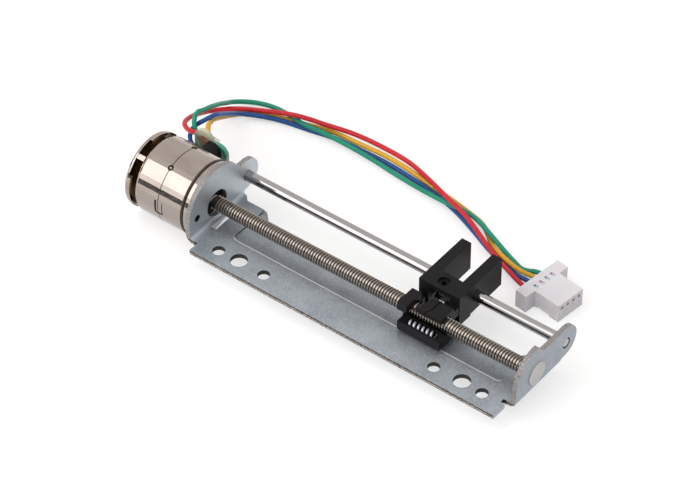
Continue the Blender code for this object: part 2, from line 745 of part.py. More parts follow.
def sector(name, x_range, radii, middle, half, material):
    """Block between two radii and two angles about the screw's axis, in radians."""
    low, high = math.degrees(middle - half), math.degrees(middle + half)
    points = arc((0, AXIS_Z), radii[1], low, high, 8)
    points += arc((0, AXIS_Z), radii[0], high, low, 8)
    return prism(name, points, "X", x_range[0], x_range[1], material)


def make_rear_cap(cap_x, nickel):
    """Rear cap: a disc with a rim, open towards the can but for three legs that stand on the cup."""
    inner = CAN_RADIUS - CAP_RIM
    disc_inside = cap_x[0] + CAP_WALL
    profile = [
        (cap_x[0], JOURNAL_RADIUS),
        (cap_x[0], CAN_RADIUS - CAN_EDGE),
        (cap_x[0] + CAN_EDGE * 0.3, CAN_RADIUS - CAN_EDGE * 0.3),
        (cap_x[0] + CAN_EDGE, CAN_RADIUS),
        (cap_x[0] + CAP_WIDE, CAN_RADIUS),
        (cap_x[0] + CAP_WIDE, inner),
        (disc_inside, inner),
        (disc_inside, JOURNAL_RADIUS),
    ]
    cap = lathe("rear_cap", profile, nickel, LARGE_SEGMENTS)
    rim = (inner - CAP_RIM, CAN_RADIUS + PRISM_MARGIN)
    low = (cap_x[0] + CAP_NARROW, cap_x[0] + CAP_WIDE + PRISM_MARGIN)
    cutters = []
    legs = []
    for k in range(CAP_LEGS):
        middle = CAP_LEG_TURN + 2 * math.pi * k / CAP_LEGS
        half = CAP_GAP_ANGLE / 2
        cutters.append(sector("gap", low, rim, middle, half, nickel))
        for side in (-half, half):
            slit_x = (cap_x[0] + CAP_WALL + FIT, cap_x[1])
            slit = CAP_SLIT / CAN_RADIUS / 2
            cutters.append(sector("slit", slit_x, rim, middle + side, slit, nickel))
        leg_x = (disc_inside, cap_x[1])
        leg_half = CAP_LEG_WIDTH / CAN_RADIUS / 2
        legs.append(sector("leg", leg_x, (inner + FIT, CAN_RADIUS - FIT), middle, leg_half, nickel))
    combine(cap, "DIFFERENCE", *cutters)
    combine(cap, "UNION", *legs)
    return cap


def make_marks(seam_x, nickel):
    """Cutters for the dimples on the can's seam and for the slots round the tongue."""
    cutters = []
    for turn in DIMPLE_TURNS:
        reach = CAN_RADIUS + DIMPLE_RADIUS - DIMPLE_DEPTH
        side = Vector((0, math.cos(math.radians(turn)), math.sin(math.radians(turn))))
        bm = bmesh.new()
        bmesh.ops.create_uvsphere(bm, u_segments=12, v_segments=8, radius=DIMPLE_RADIUS)
        bmesh.ops.translate(bm, verts=bm.verts, vec=Vector((seam_x, 0, AXIS_Z)) + side * reach)
        cutters.append(add_object("dimple", bm, nickel))
    back, front = seam_x - TONGUE_BACK, seam_x + TONGUE_FRONT
    low, high = AXIS_Z - TONGUE_HALF_HEIGHT, AXIS_Z + TONGUE_HALF_HEIGHT
    depth = (-CAN_RADIUS - PRISM_MARGIN, -CAN_RADIUS + CAN_WALL + FIT)
    cutters.append(box("slot", (back - TONGUE_SLOT, back), depth, (low, high), nickel))
    cutters.append(box("slot", (front, front + TONGUE_SLOT), depth, (low, high), nickel))
    foot = (low - TONGUE_SLOT, low)
    cutters.append(box("slot", (back - TONGUE_SLOT, front + TONGUE_SLOT), depth, foot, nickel))
    return cutters


def make_motor(materials):
    """Tin-can motor: two stator halves round a magnet rotor, with its bearings and rear cap."""
    nickel, steel = materials["nickel"], materials["steel"]
    black, copper = materials["black"], materials["copper"]
    places = can_places()
    front_x, rear_x, cap_x = places["front"], places["rear"], places["cap"]
    flange_hole = SCREW_HOLE / 2
    flange = ring("front_flange", places["flange"], flange_hole, FLANGE_RADIUS, nickel, LARGE_SEGMENTS)
    flange_pin = (-PIN_HOLE_Y, AXIS_Z + PIN_HOLE_RISE)
    flange_cut = (places["flange"][0] - PRISM_MARGIN, places["flange"][1] + PRISM_MARGIN)
    combine(flange, "DIFFERENCE", rod("pin", flange_cut, PIN_HOLE / 2, nickel, SMALL_SEGMENTS, flange_pin))

    make_stator_half("front", front_x[1], front_x[0], 0.0, nickel, steel, black, copper)
    make_stator_half("rear", rear_x[0], rear_x[1], math.pi / CLAWS / 2, nickel, steel, black, copper)
    make_rear_cap(cap_x, nickel)

    bearing_x1 = -SHEET - FRONT_BEARING_RECESS
    bearing_x0 = bearing_x1 - FRONT_BEARING_LENGTH
    shaft_hole = JOURNAL_RADIUS + RUNNING
    ring("front_bearing", (bearing_x0, bearing_x1), shaft_hole, FRONT_BEARING_RADIUS, black)

    plate_x = (cap_x[1] - BEARING_PLATE_THICKNESS, cap_x[1])
    plate_hole = REAR_BEARING_RADIUS + SEAT
    ring("bearing_plate", plate_x, plate_hole, BEARING_PLATE_RADIUS, materials["brass"])
    rear_bearing_x = (plate_x[1] - REAR_BEARING_LENGTH + SEAT, plate_x[1])
    ring("rear_bearing", rear_bearing_x, shaft_hole, REAR_BEARING_RADIUS, materials["brass"])

    magnet_middle = (front_x[1] + rear_x[0]) / 2
    magnet_x = (magnet_middle - MAGNET_LENGTH / 2, magnet_middle + MAGNET_LENGTH / 2)
    magnet_bore = MAGNET_BORE / 2
    ring("rotor_magnet", magnet_x, magnet_bore + SEAT, MAGNET_RADIUS, materials["magnet"])
    hub_x = (magnet_x[0] - HUB_COLLAR, magnet_x[1] + HUB_COLLAR)
    ring("rotor_hub", hub_x, JOURNAL_RADIUS + SEAT, magnet_bore, black, HOLE_SEGMENTS)

    spring_outer = cap_x[0] + CAP_WALL + SEAT
    dish = THRUST_SPRING_THICKNESS
    profile = [
        (spring_outer, 0.0),
        (spring_outer, THRUST_SPRING_RADIUS),
        (spring_outer + dish, THRUST_SPRING_RADIUS),
        (spring_outer + 2 * dish, THRUST_SPRING_RADIUS / 2),
        (spring_outer + 2 * dish, 0.0),
    ]
    lathe("thrust_spring", profile, steel, HOLE_SEGMENTS)
    return spring_outer + 2 * dish


def make_lead_screw(steel, rear_end):
    """Lead screw: thread body between two thinner journals."""
    start = -SCREW_START
    stop = FRAME_LENGTH - SCREW_STOP
    far_end = FRAME_LENGTH + SHEET - JOURNAL_END
    rear = rear_end + SEAT
    profile = [
        (rear, 0.0),
        (rear, JOURNAL_RADIUS * 0.6),
        (rear + JOURNAL_RADIUS * 0.4, JOURNAL_RADIUS),
        (start, JOURNAL_RADIUS),
        (start, SCREW_RADIUS),
        (stop, SCREW_RADIUS),
        (stop, JOURNAL_RADIUS),
        (far_end, JOURNAL_RADIUS),
        (far_end, 0.0),
    ]
    return lathe("lead_screw", profile, steel, HOLE_SEGMENTS)


def make_end_bush(nylon):
    """White bush in the far plate, closed on the outside, with a collar inside the plate."""
    outer_face = FRAME_LENGTH + SHEET + BUSH_PROUD
    inner_face = FRAME_LENGTH - SEAT - BUSH_COLLAR_THICKNESS
    bore_end = FRAME_LENGTH + SHEET - JOURNAL_END + SEAT
    bore = JOURNAL_RADIUS + RUNNING
    radius = BUSH_DIAMETER / 2
    profile = [
        (bore_end, 0.0),
        (bore_end, bore),
        (inner_face, bore),
        (inner_face, BUSH_COLLAR / 2),
        (FRAME_LENGTH - SEAT, BUSH_COLLAR / 2),
        (FRAME_LENGTH - SEAT, radius),
        (outer_face, radius),
        (outer_face, 0.0),
    ]
    return lathe("end_bush", profile, nylon)


def board_outline():
    """Two-lobed outline of the terminal board in X and Z."""
    left = (TERMINAL_X + LEFT_LOBE_X, AXIS_Z + LEFT_LOBE_RISE)
    right = (TERMINAL_X + RIGHT_LOBE_X, AXIS_Z + RIGHT_LOBE_RISE)
    low = AXIS_Z - BOARD_LOW
    points = arc(right, RIGHT_LOBE_RADIUS, 0, 95, ARC_SEGMENTS)
    points += arc(left, LEFT_LOBE_RADIUS, 15, 180, ARC_SEGMENTS)
    points += [(left[0] - LEFT_LOBE_RADIUS, low), (right[0] + RIGHT_LOBE_RADIUS, low)]
    return points


def pin_places():
    """X and Z of the four terminal pins."""
    places = []
    for number in range(4):
        side = -1 if number % 2 == 0 else 1
        rise = (1.5 - number) * PIN_SPACING_Z
        places.append((TERMINAL_X + side * PIN_SPACING_X / 2, AXIS_Z + rise))
    return places


def make_terminals(materials):
    """Terminal block, board and pins behind the can."""
    block = terminal_window("terminal_block", 0.0, materials["black"])
    block_end = BOARD_FRONT - SEAT
    rise = BLOCK_HALF_HEIGHT - BLOCK_HALF_WIDTH
    points = arc((TERMINAL_X, AXIS_Z + rise), BLOCK_HALF_WIDTH, 0, 180, ARC_SEGMENTS)
    points += arc((TERMINAL_X, AXIS_Z - rise), BLOCK_HALF_WIDTH, 180, 360, ARC_SEGMENTS)
    bpy.data.objects.remove(block, do_unlink=True)
    block = prism("terminal_block", points, "Y", CAN_RADIUS / 2, block_end, materials["black"])
    hollow = CAN_RADIUS - CAN_WALL + SEAT
    hollow_x = (TERMINAL_X - 2 * BLOCK_HALF_WIDTH, TERMINAL_X + 2 * BLOCK_HALF_WIDTH)
    combine(block, "DIFFERENCE", rod("hollow", hollow_x, hollow, materials["black"], LARGE_SEGMENTS))

    back = BOARD_FRONT + BOARD_THICKNESS
    board = prism("terminal_board", board_outline(), "Y", BOARD_FRONT, back, materials["board"])
    pin_start = BOARD_FRONT - PIN_DEPTH
    hole = PIN_DIAMETER / 2 + SEAT
    for number, place in enumerate(pin_places(), 1):
        for target in (block, board):
            cutter = prism(
                "hole", circle(place, hole, SMALL_SEGMENTS), "Y", pin_start - SEAT, back + PRISM_MARGIN, materials["steel"]
            )
            combine(target, "DIFFERENCE", cutter)
        outline = circle(place, PIN_DIAMETER / 2, SMALL_SEGMENTS)
        prism(f"terminal_pin_{number}", outline, "Y", pin_start, back + PIN_STAND, materials["tin"])


def smooth_path(points, count):
    """Evenly spaced points on a Catmull-Rom curve through the given points."""
    padded = [points[0] * 2 - points[1]] + points + [points[-1] * 2 - points[-2]]
    fine = []
    for a, b, c, d in zip(padded, padded[1:], padded[2:], padded[3:]):
        for i in range(16):
            t = i / 16
            fine.append(
                0.5 * (2 * b + (c - a) * t + (2 * a - 5 * b + 4 * c - d) * t**2 + (3 * b - a - 3 * c + d) * t**3)
            )
    fine.append(points[-1])
    travelled = [0.0]
    for a, b in zip(fine, fine[1:]):
        travelled.append(travelled[-1] + (b - a).length)
    result = []
    k = 0
    for i in range(count):
        want = travelled[-1] * i / (count - 1)
        while k < len(fine) - 2 and travelled[k + 1] < want:
            k += 1
        share = (want - travelled[k]) / max(travelled[k + 1] - travelled[k], 1e-9)
        result.append(fine[k].lerp(fine[k + 1], min(max(share, 0.0), 1.0)))
    return result


def housing_frame():
    """Matrix from the connector's own (u, v, height) to the part's frame."""
    place = Matrix.Translation((HOUSING_X, HOUSING_Y, REST_Z))
    return place @ Matrix.Rotation(HOUSING_TURN, 4, "Z")


def way_offset(way):
    """Place of a way across the connector, counted from the front."""
    return (way - (WAYS - 1) / 2) * WAY_PITCH


def make_wires(materials):
    """Four wires from the terminal pins to the connector's contacts."""
    back = BOARD_FRONT + BOARD_THICKNESS + PIN_STAND + SEAT + WIRE_DIAMETER / 2
    pins = pin_places()
    frame = housing_frame()
    middle = HOUSING_HEIGHT / 2
    routes = [
        ("wire_red", RED_ROUTE, 0, 0, "red"),
        ("wire_yellow", YELLOW_ROUTE, 1, 2, "yellow"),
        ("wire_blue", BLUE_ROUTE, 2, 1, "blue"),
        ("wire_green", GREEN_ROUTE, 3, 3, "green"),
    ]
    for name, route, pin, way, colour in routes:
        x, z = pins[pin]
        points = [Vector((x + WIRE_OVERLAP, back, z)), Vector((x - WIRE_OVERLAP, back, z))]
        for place in route:
            points.append(Vector((place[0] * MM, place[1] * MM, REST_Z + place[2] * MM)))
        v = way_offset(way)
        for u in (-0.0016, 0.0, WIRE_END):
            points.append(frame @ Vector((u, v, middle)))
        wire(name, smooth_path(points, WIRE_SAMPLES), WIRE_DIAMETER, materials[colour])


def make_connector(materials):
    """White four-way housing with one crimp contact in each way."""
    frame = housing_frame()
    white = materials["white"]
    half_flange, half_body = HOUSING_FLANGE_WIDTH / 2, HOUSING_WIDTH / 2
    outline = [
        (0.0, -half_flange),
        (HOUSING_FLANGE_LENGTH, -half_flange),
        (HOUSING_FLANGE_LENGTH, -half_body),
        (HOUSING_LENGTH, -half_body),
        (HOUSING_LENGTH, half_body),
        (HOUSING_FLANGE_LENGTH, half_body),
        (HOUSING_FLANGE_LENGTH, half_flange),
        (0.0, half_flange),
    ]
    housing = prism("connector_housing", outline, "Z", 0.0, HOUSING_HEIGHT, white)
    middle = HOUSING_HEIGHT / 2
    contact_start = WIRE_END + SEAT
    undercut_x = (UNDERCUT_START, UNDERCUT_STOP)
    across = (-half_flange, half_flange)
    cutters = [box("undercut", undercut_x, across, (-PRISM_MARGIN, UNDERCUT), white)]
    for way in range(WAYS):
        v = way_offset(way)
        bore_x = (-PRISM_MARGIN, WIRE_BORE_DEPTH + FIT)
        cutters.append(rod("wire_bore", bore_x, WIRE_BORE / 2, white, SMALL_SEGMENTS, (v, middle)))
        chamber_x = (WIRE_BORE_DEPTH, HOUSING_LENGTH - MOUTH_WALL)
        chamber_z = (middle - CHAMBER / 2, middle + MOUTH_RISE + MOUTH / 2)
        side = (v - CHAMBER / 2, v + CHAMBER / 2)
        cutters.append(box("chamber", chamber_x, side, chamber_z, white))
        mouth_x = (chamber_x[1] - FIT, HOUSING_LENGTH + PRISM_MARGIN)
        mouth_y = (v - MOUTH / 2, v + MOUTH / 2)
        cutters.append(box("mouth", mouth_x, mouth_y, (chamber_z[1] - MOUTH, chamber_z[1]), white))
        window_x = (LATCH_WINDOW_START, LATCH_WINDOW_START + LATCH_WINDOW_LENGTH)
        window_y = (v - LATCH_WINDOW_WIDTH / 2, v + LATCH_WINDOW_WIDTH / 2)
        cutters.append(box("window", window_x, window_y, (middle, HOUSING_HEIGHT + PRISM_MARGIN), white))
    combine(housing, "DIFFERENCE", *cutters)
    housing.data.transform(frame)
    for way in range(WAYS):
        v = way_offset(way)
        barrel_x = (contact_start, WIRE_BORE_DEPTH + 2 * FIT)
        name = f"crimp_contact_{way + 1}"
        barrel = rod(name, barrel_x, CONTACT_BARREL / 2, materials["tin"], SMALL_SEGMENTS, (v, middle))
        sides = (v - CONTACT / 2, v + CONTACT / 2)
        levels = (middle - CONTACT / 2, middle + CONTACT / 2)
        socket_x = (WIRE_BORE_DEPTH + FIT, WIRE_BORE_DEPTH + FIT + CONTACT_LENGTH)
        socket = box("socket", socket_x, sides, levels, materials["tin"])
        mouth_x = (socket_x[1] - CONTACT_LENGTH / 2, socket_x[1] + PRISM_MARGIN)
        mouth = CONTACT / 2 - CONTACT / 5
        mouth_y = (v - mouth, v + mouth)
        hollow = box("hollow", mouth_x, mouth_y, (middle - mouth, middle + mouth), materials["tin"])
        combine(barrel, "UNION", socket)
        combine(barrel, "DIFFERENCE", hollow)
        barrel.data.transform(frame)


def arm_outline(outer_x, inner_x, tip_outer, tip_inner):
    """Plan of a side wall and its fork arm, which narrows to the tip."""
    return [
        (outer_x, SLIDER_FRONT),
        (inner_x, SLIDER_FRONT),
        (inner_x, PLATE_REAR),
        (tip_inner, ARM_TIP),
        (tip_outer, ARM_TIP),
        (outer_x, PLATE_REAR),
    ]


def shape_jaw(jaw, x_range, black):
    """Cuts a jaw away in front under its lip and behind its shelf, so that it only lies over the screw."""
    deep = AXIS_Z - JAW_BOTTOM - PRISM_MARGIN
    front = (-JAW_FRONT - PRISM_MARGIN, 0.0)
    under = box("under", x_range, front, (deep, AXIS_Z + JAW_LIP), black)
    back = (JAW_SHELF_BACK, SLIDER_FRONT + PRISM_MARGIN)
    shelf_z = (AXIS_Z + JAW_TOP - JAW_SHELF_DROP, AXIS_Z + JAW_TOP + PRISM_MARGIN)
    combine(jaw, "DIFFERENCE", under, box("shelf", x_range, back, shelf_z, black))


def make_slider_body(black):
    """Moulded slider: two walls that end in fork arms, a top plate and the fixed jaw."""
    x0 = SLIDER_START
    x1 = SLIDER_START + SLIDER_WIDTH
    top = AXIS_Z + SLIDER_TOP
    bottom = AXIS_Z - ARM_BOTTOM
    left_in, right_in = x0 + ARM_THICKNESS, x1 - ARM_THICKNESS
    thin = ARM_THICKNESS - ARM_TIP_THICKNESS
    left = arm_outline(x0, left_in, x0, left_in - thin)
    right = arm_outline(x1, right_in, x1 - thin, right_in)
    body = prism("slider_body", left, "Z", bottom, top, black)
    right_wall = prism("right_wall", right, "Z", bottom, top, black)
    plate_z = (top - TOP_THICKNESS, top)
    plate = box("plate", (left_in - FIT, right_in + FIT), (SLIDER_FRONT, PLATE_REAR), plate_z, black)
    jaw_start = x1 - FIXED_JAW_LENGTH
    jaw_plan = [
        (jaw_start - JAW_NOSE, -JAW_FRONT),
        (x1 - FIT, -JAW_FRONT),
        (x1 - FIT, SLIDER_FRONT + FIT),
        (jaw_start, SLIDER_FRONT + FIT),
        (jaw_start, -JAW_NOSE_BACK),
    ]
    jaw = prism("jaw", jaw_plan, "Z", AXIS_Z - JAW_BOTTOM, AXIS_Z + JAW_TOP, black)
    shape_jaw(jaw, (jaw_start - JAW_NOSE - PRISM_MARGIN, x1 + PRISM_MARGIN), black)
    combine(body, "UNION", plate, right_wall, jaw)
    foot_z = (bottom - FOOT_DEPTH, bottom + FIT)
    for wall_x in ((x0 + FIT, left_in - FIT), (right_in + FIT, x1 - FIT)):
        combine(body, "UNION", box("foot", wall_x, (FOOT_FRONT, FOOT_BACK), foot_z, black))
    through = (x0 - PRISM_MARGIN, x1 + PRISM_MARGIN)
    bore = SCREW_RADIUS + JAW_BORE_CLEARANCE
    rod_hole = ROD_DIAMETER / 2 + RUNNING
    hole_centre = (x0 + STEP_HOLE_X, STEP_HOLE_Y)
    step_z = (top - STEP_HOLE_DEPTH, top + PRISM_MARGIN)
    through_z = (top - TOP_THICKNESS - PRISM_MARGIN, top + PRISM_MARGIN)
    step = prism("step", circle(hole_centre, STEP_HOLE / 2, HOLE_SEGMENTS), "Z", *step_z, black)
    hole = prism("hole", circle(hole_centre, THROUGH_HOLE / 2, SMALL_SEGMENTS), "Z", *through_z, black)
    screw_bore = rod("bore", through, bore, black, HOLE_SEGMENTS)
    rod_bore = rod("rod_bore", through, rod_hole, black, HOLE_SEGMENTS, (ROD_Y, ROD_Z))
    combine(body, "DIFFERENCE", step, hole, screw_bore, rod_bore)
    return body


def make_nut_jaw(black):
    """Sprung half of the nut, beside the fixed jaw, with the same skewed joint."""
    stop = SLIDER_START + SLIDER_WIDTH - FIXED_JAW_LENGTH - JAW_GAP
    start = stop - JAW_NOSE - NUT_JAW_LENGTH
    slant = NUT_JAW_SLANT * (JAW_FRONT + NUT_JAW_BACK)
    plan = [
        (start, -JAW_FRONT),
        (stop - JAW_NOSE, -JAW_FRONT),
        (stop, -JAW_NOSE_BACK),
        (stop, NUT_JAW_BACK),
        (start + slant, NUT_JAW_BACK),
    ]
    jaw = prism("nut_jaw", plan, "Z", AXIS_Z - JAW_BOTTOM, AXIS_Z + JAW_TOP, black)
    shape_jaw(jaw, (start - PRISM_MARGIN, stop + PRISM_MARGIN), black)
    bore_x = (start - PRISM_MARGIN, stop + PRISM_MARGIN)
    combine(jaw, "DIFFERENCE", rod("bore", bore_x, SCREW_RADIUS + RUNNING, black))
    return jaw


def make_nut_carrier(black):
    """Carrier under the screw: saddle over the screw at one end, floor, and tray with a pocket."""
    x0 = SLIDER_START - FIT
    tray_x = (SLIDER_START + TRAY_START, SLIDER_START + TRAY_START + TRAY_LENGTH)
    floor_z = (AXIS_Z + TRAY_BOTTOM, AXIS_Z + FLOOR_TOP)
    saddle_x = (x0, x0 + SADDLE_LENGTH)
    carrier = box("nut_carrier", tray_x, (-TRAY_FRONT, -TRAY_BACK), (floor_z[0], AXIS_Z + TRAY_TOP), black)
    floor = box("floor", (x0, tray_x[1] - FIT), (-TRAY_BACK - FIT, CARRIER_BACK), floor_z, black)
    wall_z = (floor_z[0] + FIT, AXIS_Z + SADDLE_SKIRT)
    wall_y = (CARRIER_BACK - CARRIER_WALL, CARRIER_BACK - FIT)
    wall = box("wall", (x0 + FIT, saddle_x[1] + FIT), wall_y, wall_z, black)
    saddle_y = (-SADDLE_FRONT, SADDLE_BACK + FIT)
    saddle_z = (AXIS_Z + SADDLE_SKIRT - FIT, AXIS_Z + JAW_TOP)
    saddle = box("saddle", saddle_x, saddle_y, saddle_z, black)
    link_y = (SADDLE_BACK - FIT, CARRIER_BACK - CARRIER_WALL + FIT)
    link = box("link", (x0 + FIT, saddle_x[1]), link_y, (AXIS_Z, AXIS_Z + SADDLE_SKIRT + FIT), black)
    combine(carrier, "UNION", floor, wall, link, saddle)
    pocket_x = (tray_x[0] + POCKET_START, tray_x[0] + POCKET_START + POCKET_LENGTH)
    pocket_z = (AXIS_Z + TRAY_TOP - POCKET_DEPTH, AXIS_Z + TRAY_TOP + PRISM_MARGIN)
    pocket = box("pocket", pocket_x, (-POCKET_FRONT, -POCKET_BACK), pocket_z, black)
    bore_x = (x0 - PRISM_MARGIN, tray_x[1] + PRISM_MARGIN)
    bore = rod("bore", bore_x, SCREW_RADIUS + JAW_BORE_CLEARANCE, black)
    combine(carrier, "DIFFERENCE", pocket, bore)
    return carrier


def make_springs(steel):
    """Coil spring in the tray's pocket, and wire spring that presses the nut jaw."""
    pocket_start = SLIDER_START + TRAY_START + POCKET_START
    radius = (PRELOAD_DIAMETER - PRELOAD_WIRE) / 2
    length = POCKET_LENGTH - PRELOAD_WIRE - 2 * FIT
    middle_y = -(POCKET_FRONT + POCKET_BACK) / 2
    middle_z = AXIS_Z + TRAY_TOP - POCKET_DEPTH + PRELOAD_DIAMETER / 2 + FIT
    points = []
    count = PRELOAD_TURNS * 12
    for i in range(count + 1):
        angle = 2 * math.pi * i / 12
        x = pocket_start + FIT + PRELOAD_WIRE / 2 + length * i / count
        points.append((x, middle_y + radius * math.cos(angle), middle_z + radius * math.sin(angle)))
    wire("preload_spring", points, PRELOAD_WIRE, steel)

    coil = (JAW_COIL_DIAMETER - JAW_WIRE) / 2
    start = SLIDER_START + SLIDER_WIDTH / 2 - JAW_COIL_TURNS * JAW_COIL_PITCH
    centre_z = AXIS_Z + JAW_COIL_Z
    foot = (start - JAW_COIL_PITCH, NUT_JAW_BACK + JAW_WIRE / 2 + FIT, AXIS_Z - JAW_BOTTOM)
    bend = (start, NUT_JAW_BACK + JAW_WIRE + FIT, centre_z + coil)
    points = [foot, bend]
    count = JAW_COIL_TURNS * 10
    for i in range(count + 1):
        angle = math.pi / 2 - 2 * math.pi * i / 10
        x = start + JAW_COIL_PITCH * i / 10
        points.append((x, JAW_COIL_Y + coil * math.cos(angle), centre_z + coil * math.sin(angle)))
    last = points[-1]
    points.append((last[0], PLATE_REAR - JAW_WIRE, AXIS_Z + SLIDER_TOP - TOP_THICKNESS - JAW_WIRE))
    wire("jaw_spring", points, JAW_WIRE, steel)


def place_origin():
    """Puts the part's origin on the flange, and the rotor's own origins on the screw's axis."""
    shift = Vector((-FRAME_LENGTH / 2, HOLE_LINE, 0))
    axis = Vector((0, 0, AXIS_Z))
    for thing in bpy.data.objects:
        thing.location = shift
        if thing.name in ROTOR:
            thing.data.transform(Matrix.Translation(-axis))
            thing.location = shift + axis


def make_materials():
    """Materials of the part, from the photograph's colours."""
    return {
        "bracket": make_material("bracket_steel", (0.34, 0.37, 0.40), 0.42, 0.85),
        "nickel": make_material("nickel_plate", (0.62, 0.56, 0.50), 0.25, 1.0),
        "steel": make_material("steel", (0.60, 0.58, 0.56), 0.25, 1.0),
        "screw": make_material("screw_steel", (0.50, 0.46, 0.42), 0.3, 1.0),
        "black": make_material("black_plastic", (0.025, 0.024, 0.026), 0.45, 0.0),
        "nylon": make_material("white_nylon", (0.62, 0.61, 0.60), 0.5, 0.0),
        "copper": make_material("copper_wire", (0.70, 0.30, 0.15), 0.35, 1.0),
        "brass": make_material("brass", (0.65, 0.48, 0.22), 0.35, 1.0),
        "magnet": make_material("magnet", (0.08, 0.075, 0.07), 0.6, 0.2),
        "board": make_material("board_laminate", (0.30, 0.40, 0.28), 0.4, 0.0),
        "tin": make_material("tinned_pin", (0.70, 0.69, 0.66), 0.3, 1.0),
        "white": make_material("white_plastic", (0.72, 0.70, 0.72), 0.45, 0.0),
        "red": make_material("red_wire", (0.70, 0.03, 0.04), 0.4, 0.0),
        "green": make_material("green_wire", (0.01, 0.30, 0.18), 0.4, 0.0),
        "blue": make_material("blue_wire", (0.02, 0.07, 0.32), 0.4, 0.0),
        "yellow": make_material("yellow_wire", (0.68, 0.38, 0.03), 0.4, 0.0),
    }


def main():
    """Builds every piece."""
    clear_scene()
    materials = make_materials()
    make_bracket(materials["bracket"])
    make_guide_rod(materials["steel"])
    thrust_face = make_motor(materials)
    make_lead_screw(materials["screw"], thrust_face)
    make_end_bush(materials["nylon"])
    make_terminals(materials)
    make_wires(materials)
    make_connector(materials)
    make_slider_body(materials["black"])
    make_nut_jaw(materials["black"])
    make_nut_carrier(materials["black"])
    make_springs(materials["steel"])
    place_origin()


main()
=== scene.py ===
"""Looks of the micro linear stepper motor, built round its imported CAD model.

Lengths are millimetres times MM. Pieces are placed in the motor's own terms, as in the CAD source:
x from the inner face of the motor plate, y from the screw's axis, z from the flange's underside.
SHIFT takes such a place to the part's frame. Finishes are placed in the part's frame itself, where
the screw's axis is at y = HOLE_LINE and z = AXIS_Z.
"""
import math

import bmesh
import bpy
from mathutils import Matrix, Vector

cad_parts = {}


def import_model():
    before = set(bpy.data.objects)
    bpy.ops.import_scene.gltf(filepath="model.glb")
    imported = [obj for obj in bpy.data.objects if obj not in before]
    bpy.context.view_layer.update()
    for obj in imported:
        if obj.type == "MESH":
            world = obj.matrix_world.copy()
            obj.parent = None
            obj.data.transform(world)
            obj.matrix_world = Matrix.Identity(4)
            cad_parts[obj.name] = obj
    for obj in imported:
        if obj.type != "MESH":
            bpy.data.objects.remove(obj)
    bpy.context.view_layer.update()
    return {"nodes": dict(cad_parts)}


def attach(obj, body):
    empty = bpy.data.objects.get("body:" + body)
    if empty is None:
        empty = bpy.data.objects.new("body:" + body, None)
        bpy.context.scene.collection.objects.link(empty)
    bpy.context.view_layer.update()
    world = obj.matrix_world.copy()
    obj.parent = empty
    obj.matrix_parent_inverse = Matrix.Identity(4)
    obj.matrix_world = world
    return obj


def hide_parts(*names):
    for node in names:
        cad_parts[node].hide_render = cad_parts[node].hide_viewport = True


MM = 0.001

# The CAD's driving sizes that the scene needs
FRAME_LENGTH = 72.0 * MM
HOLE_LINE = 7.25 * MM
AXIS_Z = 4.25 * MM
CAN_RADIUS = 7.75 * MM
REST_Z = AXIS_Z - CAN_RADIUS
SHIFT = Vector((-FRAME_LENGTH / 2, HOLE_LINE, 0.0))

# Camera, from the fit to the photograph
EYE = Vector((0.27215, -0.35253, 0.44081))
CAMERA_RIGHT = Vector((0.7925, 0.6099, 0.0))
CAMERA_BACK = Vector((0.4425, -0.5750, 0.6882))
LENS = 177.53
SENSOR = 36.0
CLIP_START = 0.01
CLIP_END = 10.0

# Floor and world; the world is dark below a plane that tilts with y, and pale above it
FLOOR_SIZE = 1.5
FLOOR_DROP = 0.02 * MM
FLOOR_COLOUR = 0.54
FLOOR_GLOW = 0.51
WORLD_DARK = 0.035
WORLD_PALE = 0.85
WORLD_WARMTH = 0.02
WORLD_TILT = 0.30
WORLD_FADE = 0.15

# Lamps, each in a direction from the object
LAMP_DISTANCE = 0.6
SOFT_BOX_TOWARDS = (-0.44, -0.51, 0.73)
SOFT_BOX_SIZE = (0.30, 0.85)
SOFT_BOX_POWER = 1.35
FILL_TOWARDS = (-0.10, -0.95, 0.30)
FILL_SIZE = (0.3, 0.3)
FILL_POWER = 2.1

# Lead screw; the profile of its thread is (share of a turn, radius)
SCREW_RADIUS = 1.5 * MM
ROOT_RADIUS = 1.17 * MM
THREAD_PITCH = 0.6 * MM
THREAD_START = -0.9 * MM
THREAD_STOP = FRAME_LENGTH - 1.8 * MM
THREAD_SIDES = 24
THREAD_PROFILE = (
    (0.0, ROOT_RADIUS),
    (0.14, ROOT_RADIUS),
    (0.36, SCREW_RADIUS),
    (0.64, SCREW_RADIUS),
    (0.86, ROOT_RADIUS),
)
JOURNAL_RADIUS = 1.0 * MM
JOURNAL_BACK = -14.95 * MM
JOURNAL_FRONT = FRAME_LENGTH + 0.6 * MM
JOURNAL_OVERLAP = 0.3 * MM
MERGE_DISTANCE = 1e-7

# Slider, and the wall between its two sides
SLIDER_START = 44.0 * MM
SLIDER_WIDTH = 9.15 * MM
ARM_THICKNESS = 2.2 * MM
WEB_Y = 6.85 * MM
WEB_THICKNESS = 0.5 * MM
WEB_OVERLAP = 0.1 * MM
WEB_BELOW = 2.9 * MM
WEB_ABOVE = 2.5 * MM

# Coil spring in the slider's tray
SPRING_START = 10.71 * MM
SPRING_LENGTH = 5.78 * MM
SPRING_Y = 4.70 * MM
SPRING_Z = 2.875 * MM
SPRING_RADIUS = 0.60 * MM
SPRING_WIRE = 0.45 * MM
SPRING_TURNS = 6
COIL_STEPS = 16

# Rounded edges of the larger plastic pieces
ROUNDING = {
    "slider_body": 0.07 * MM,
    "nut_carrier": 0.06 * MM,
    "nut_jaw": 0.06 * MM,
    "connector_housing": 0.12 * MM,
}
ROUNDING_ANGLE = 40
WELD_DISTANCE = 2e-6

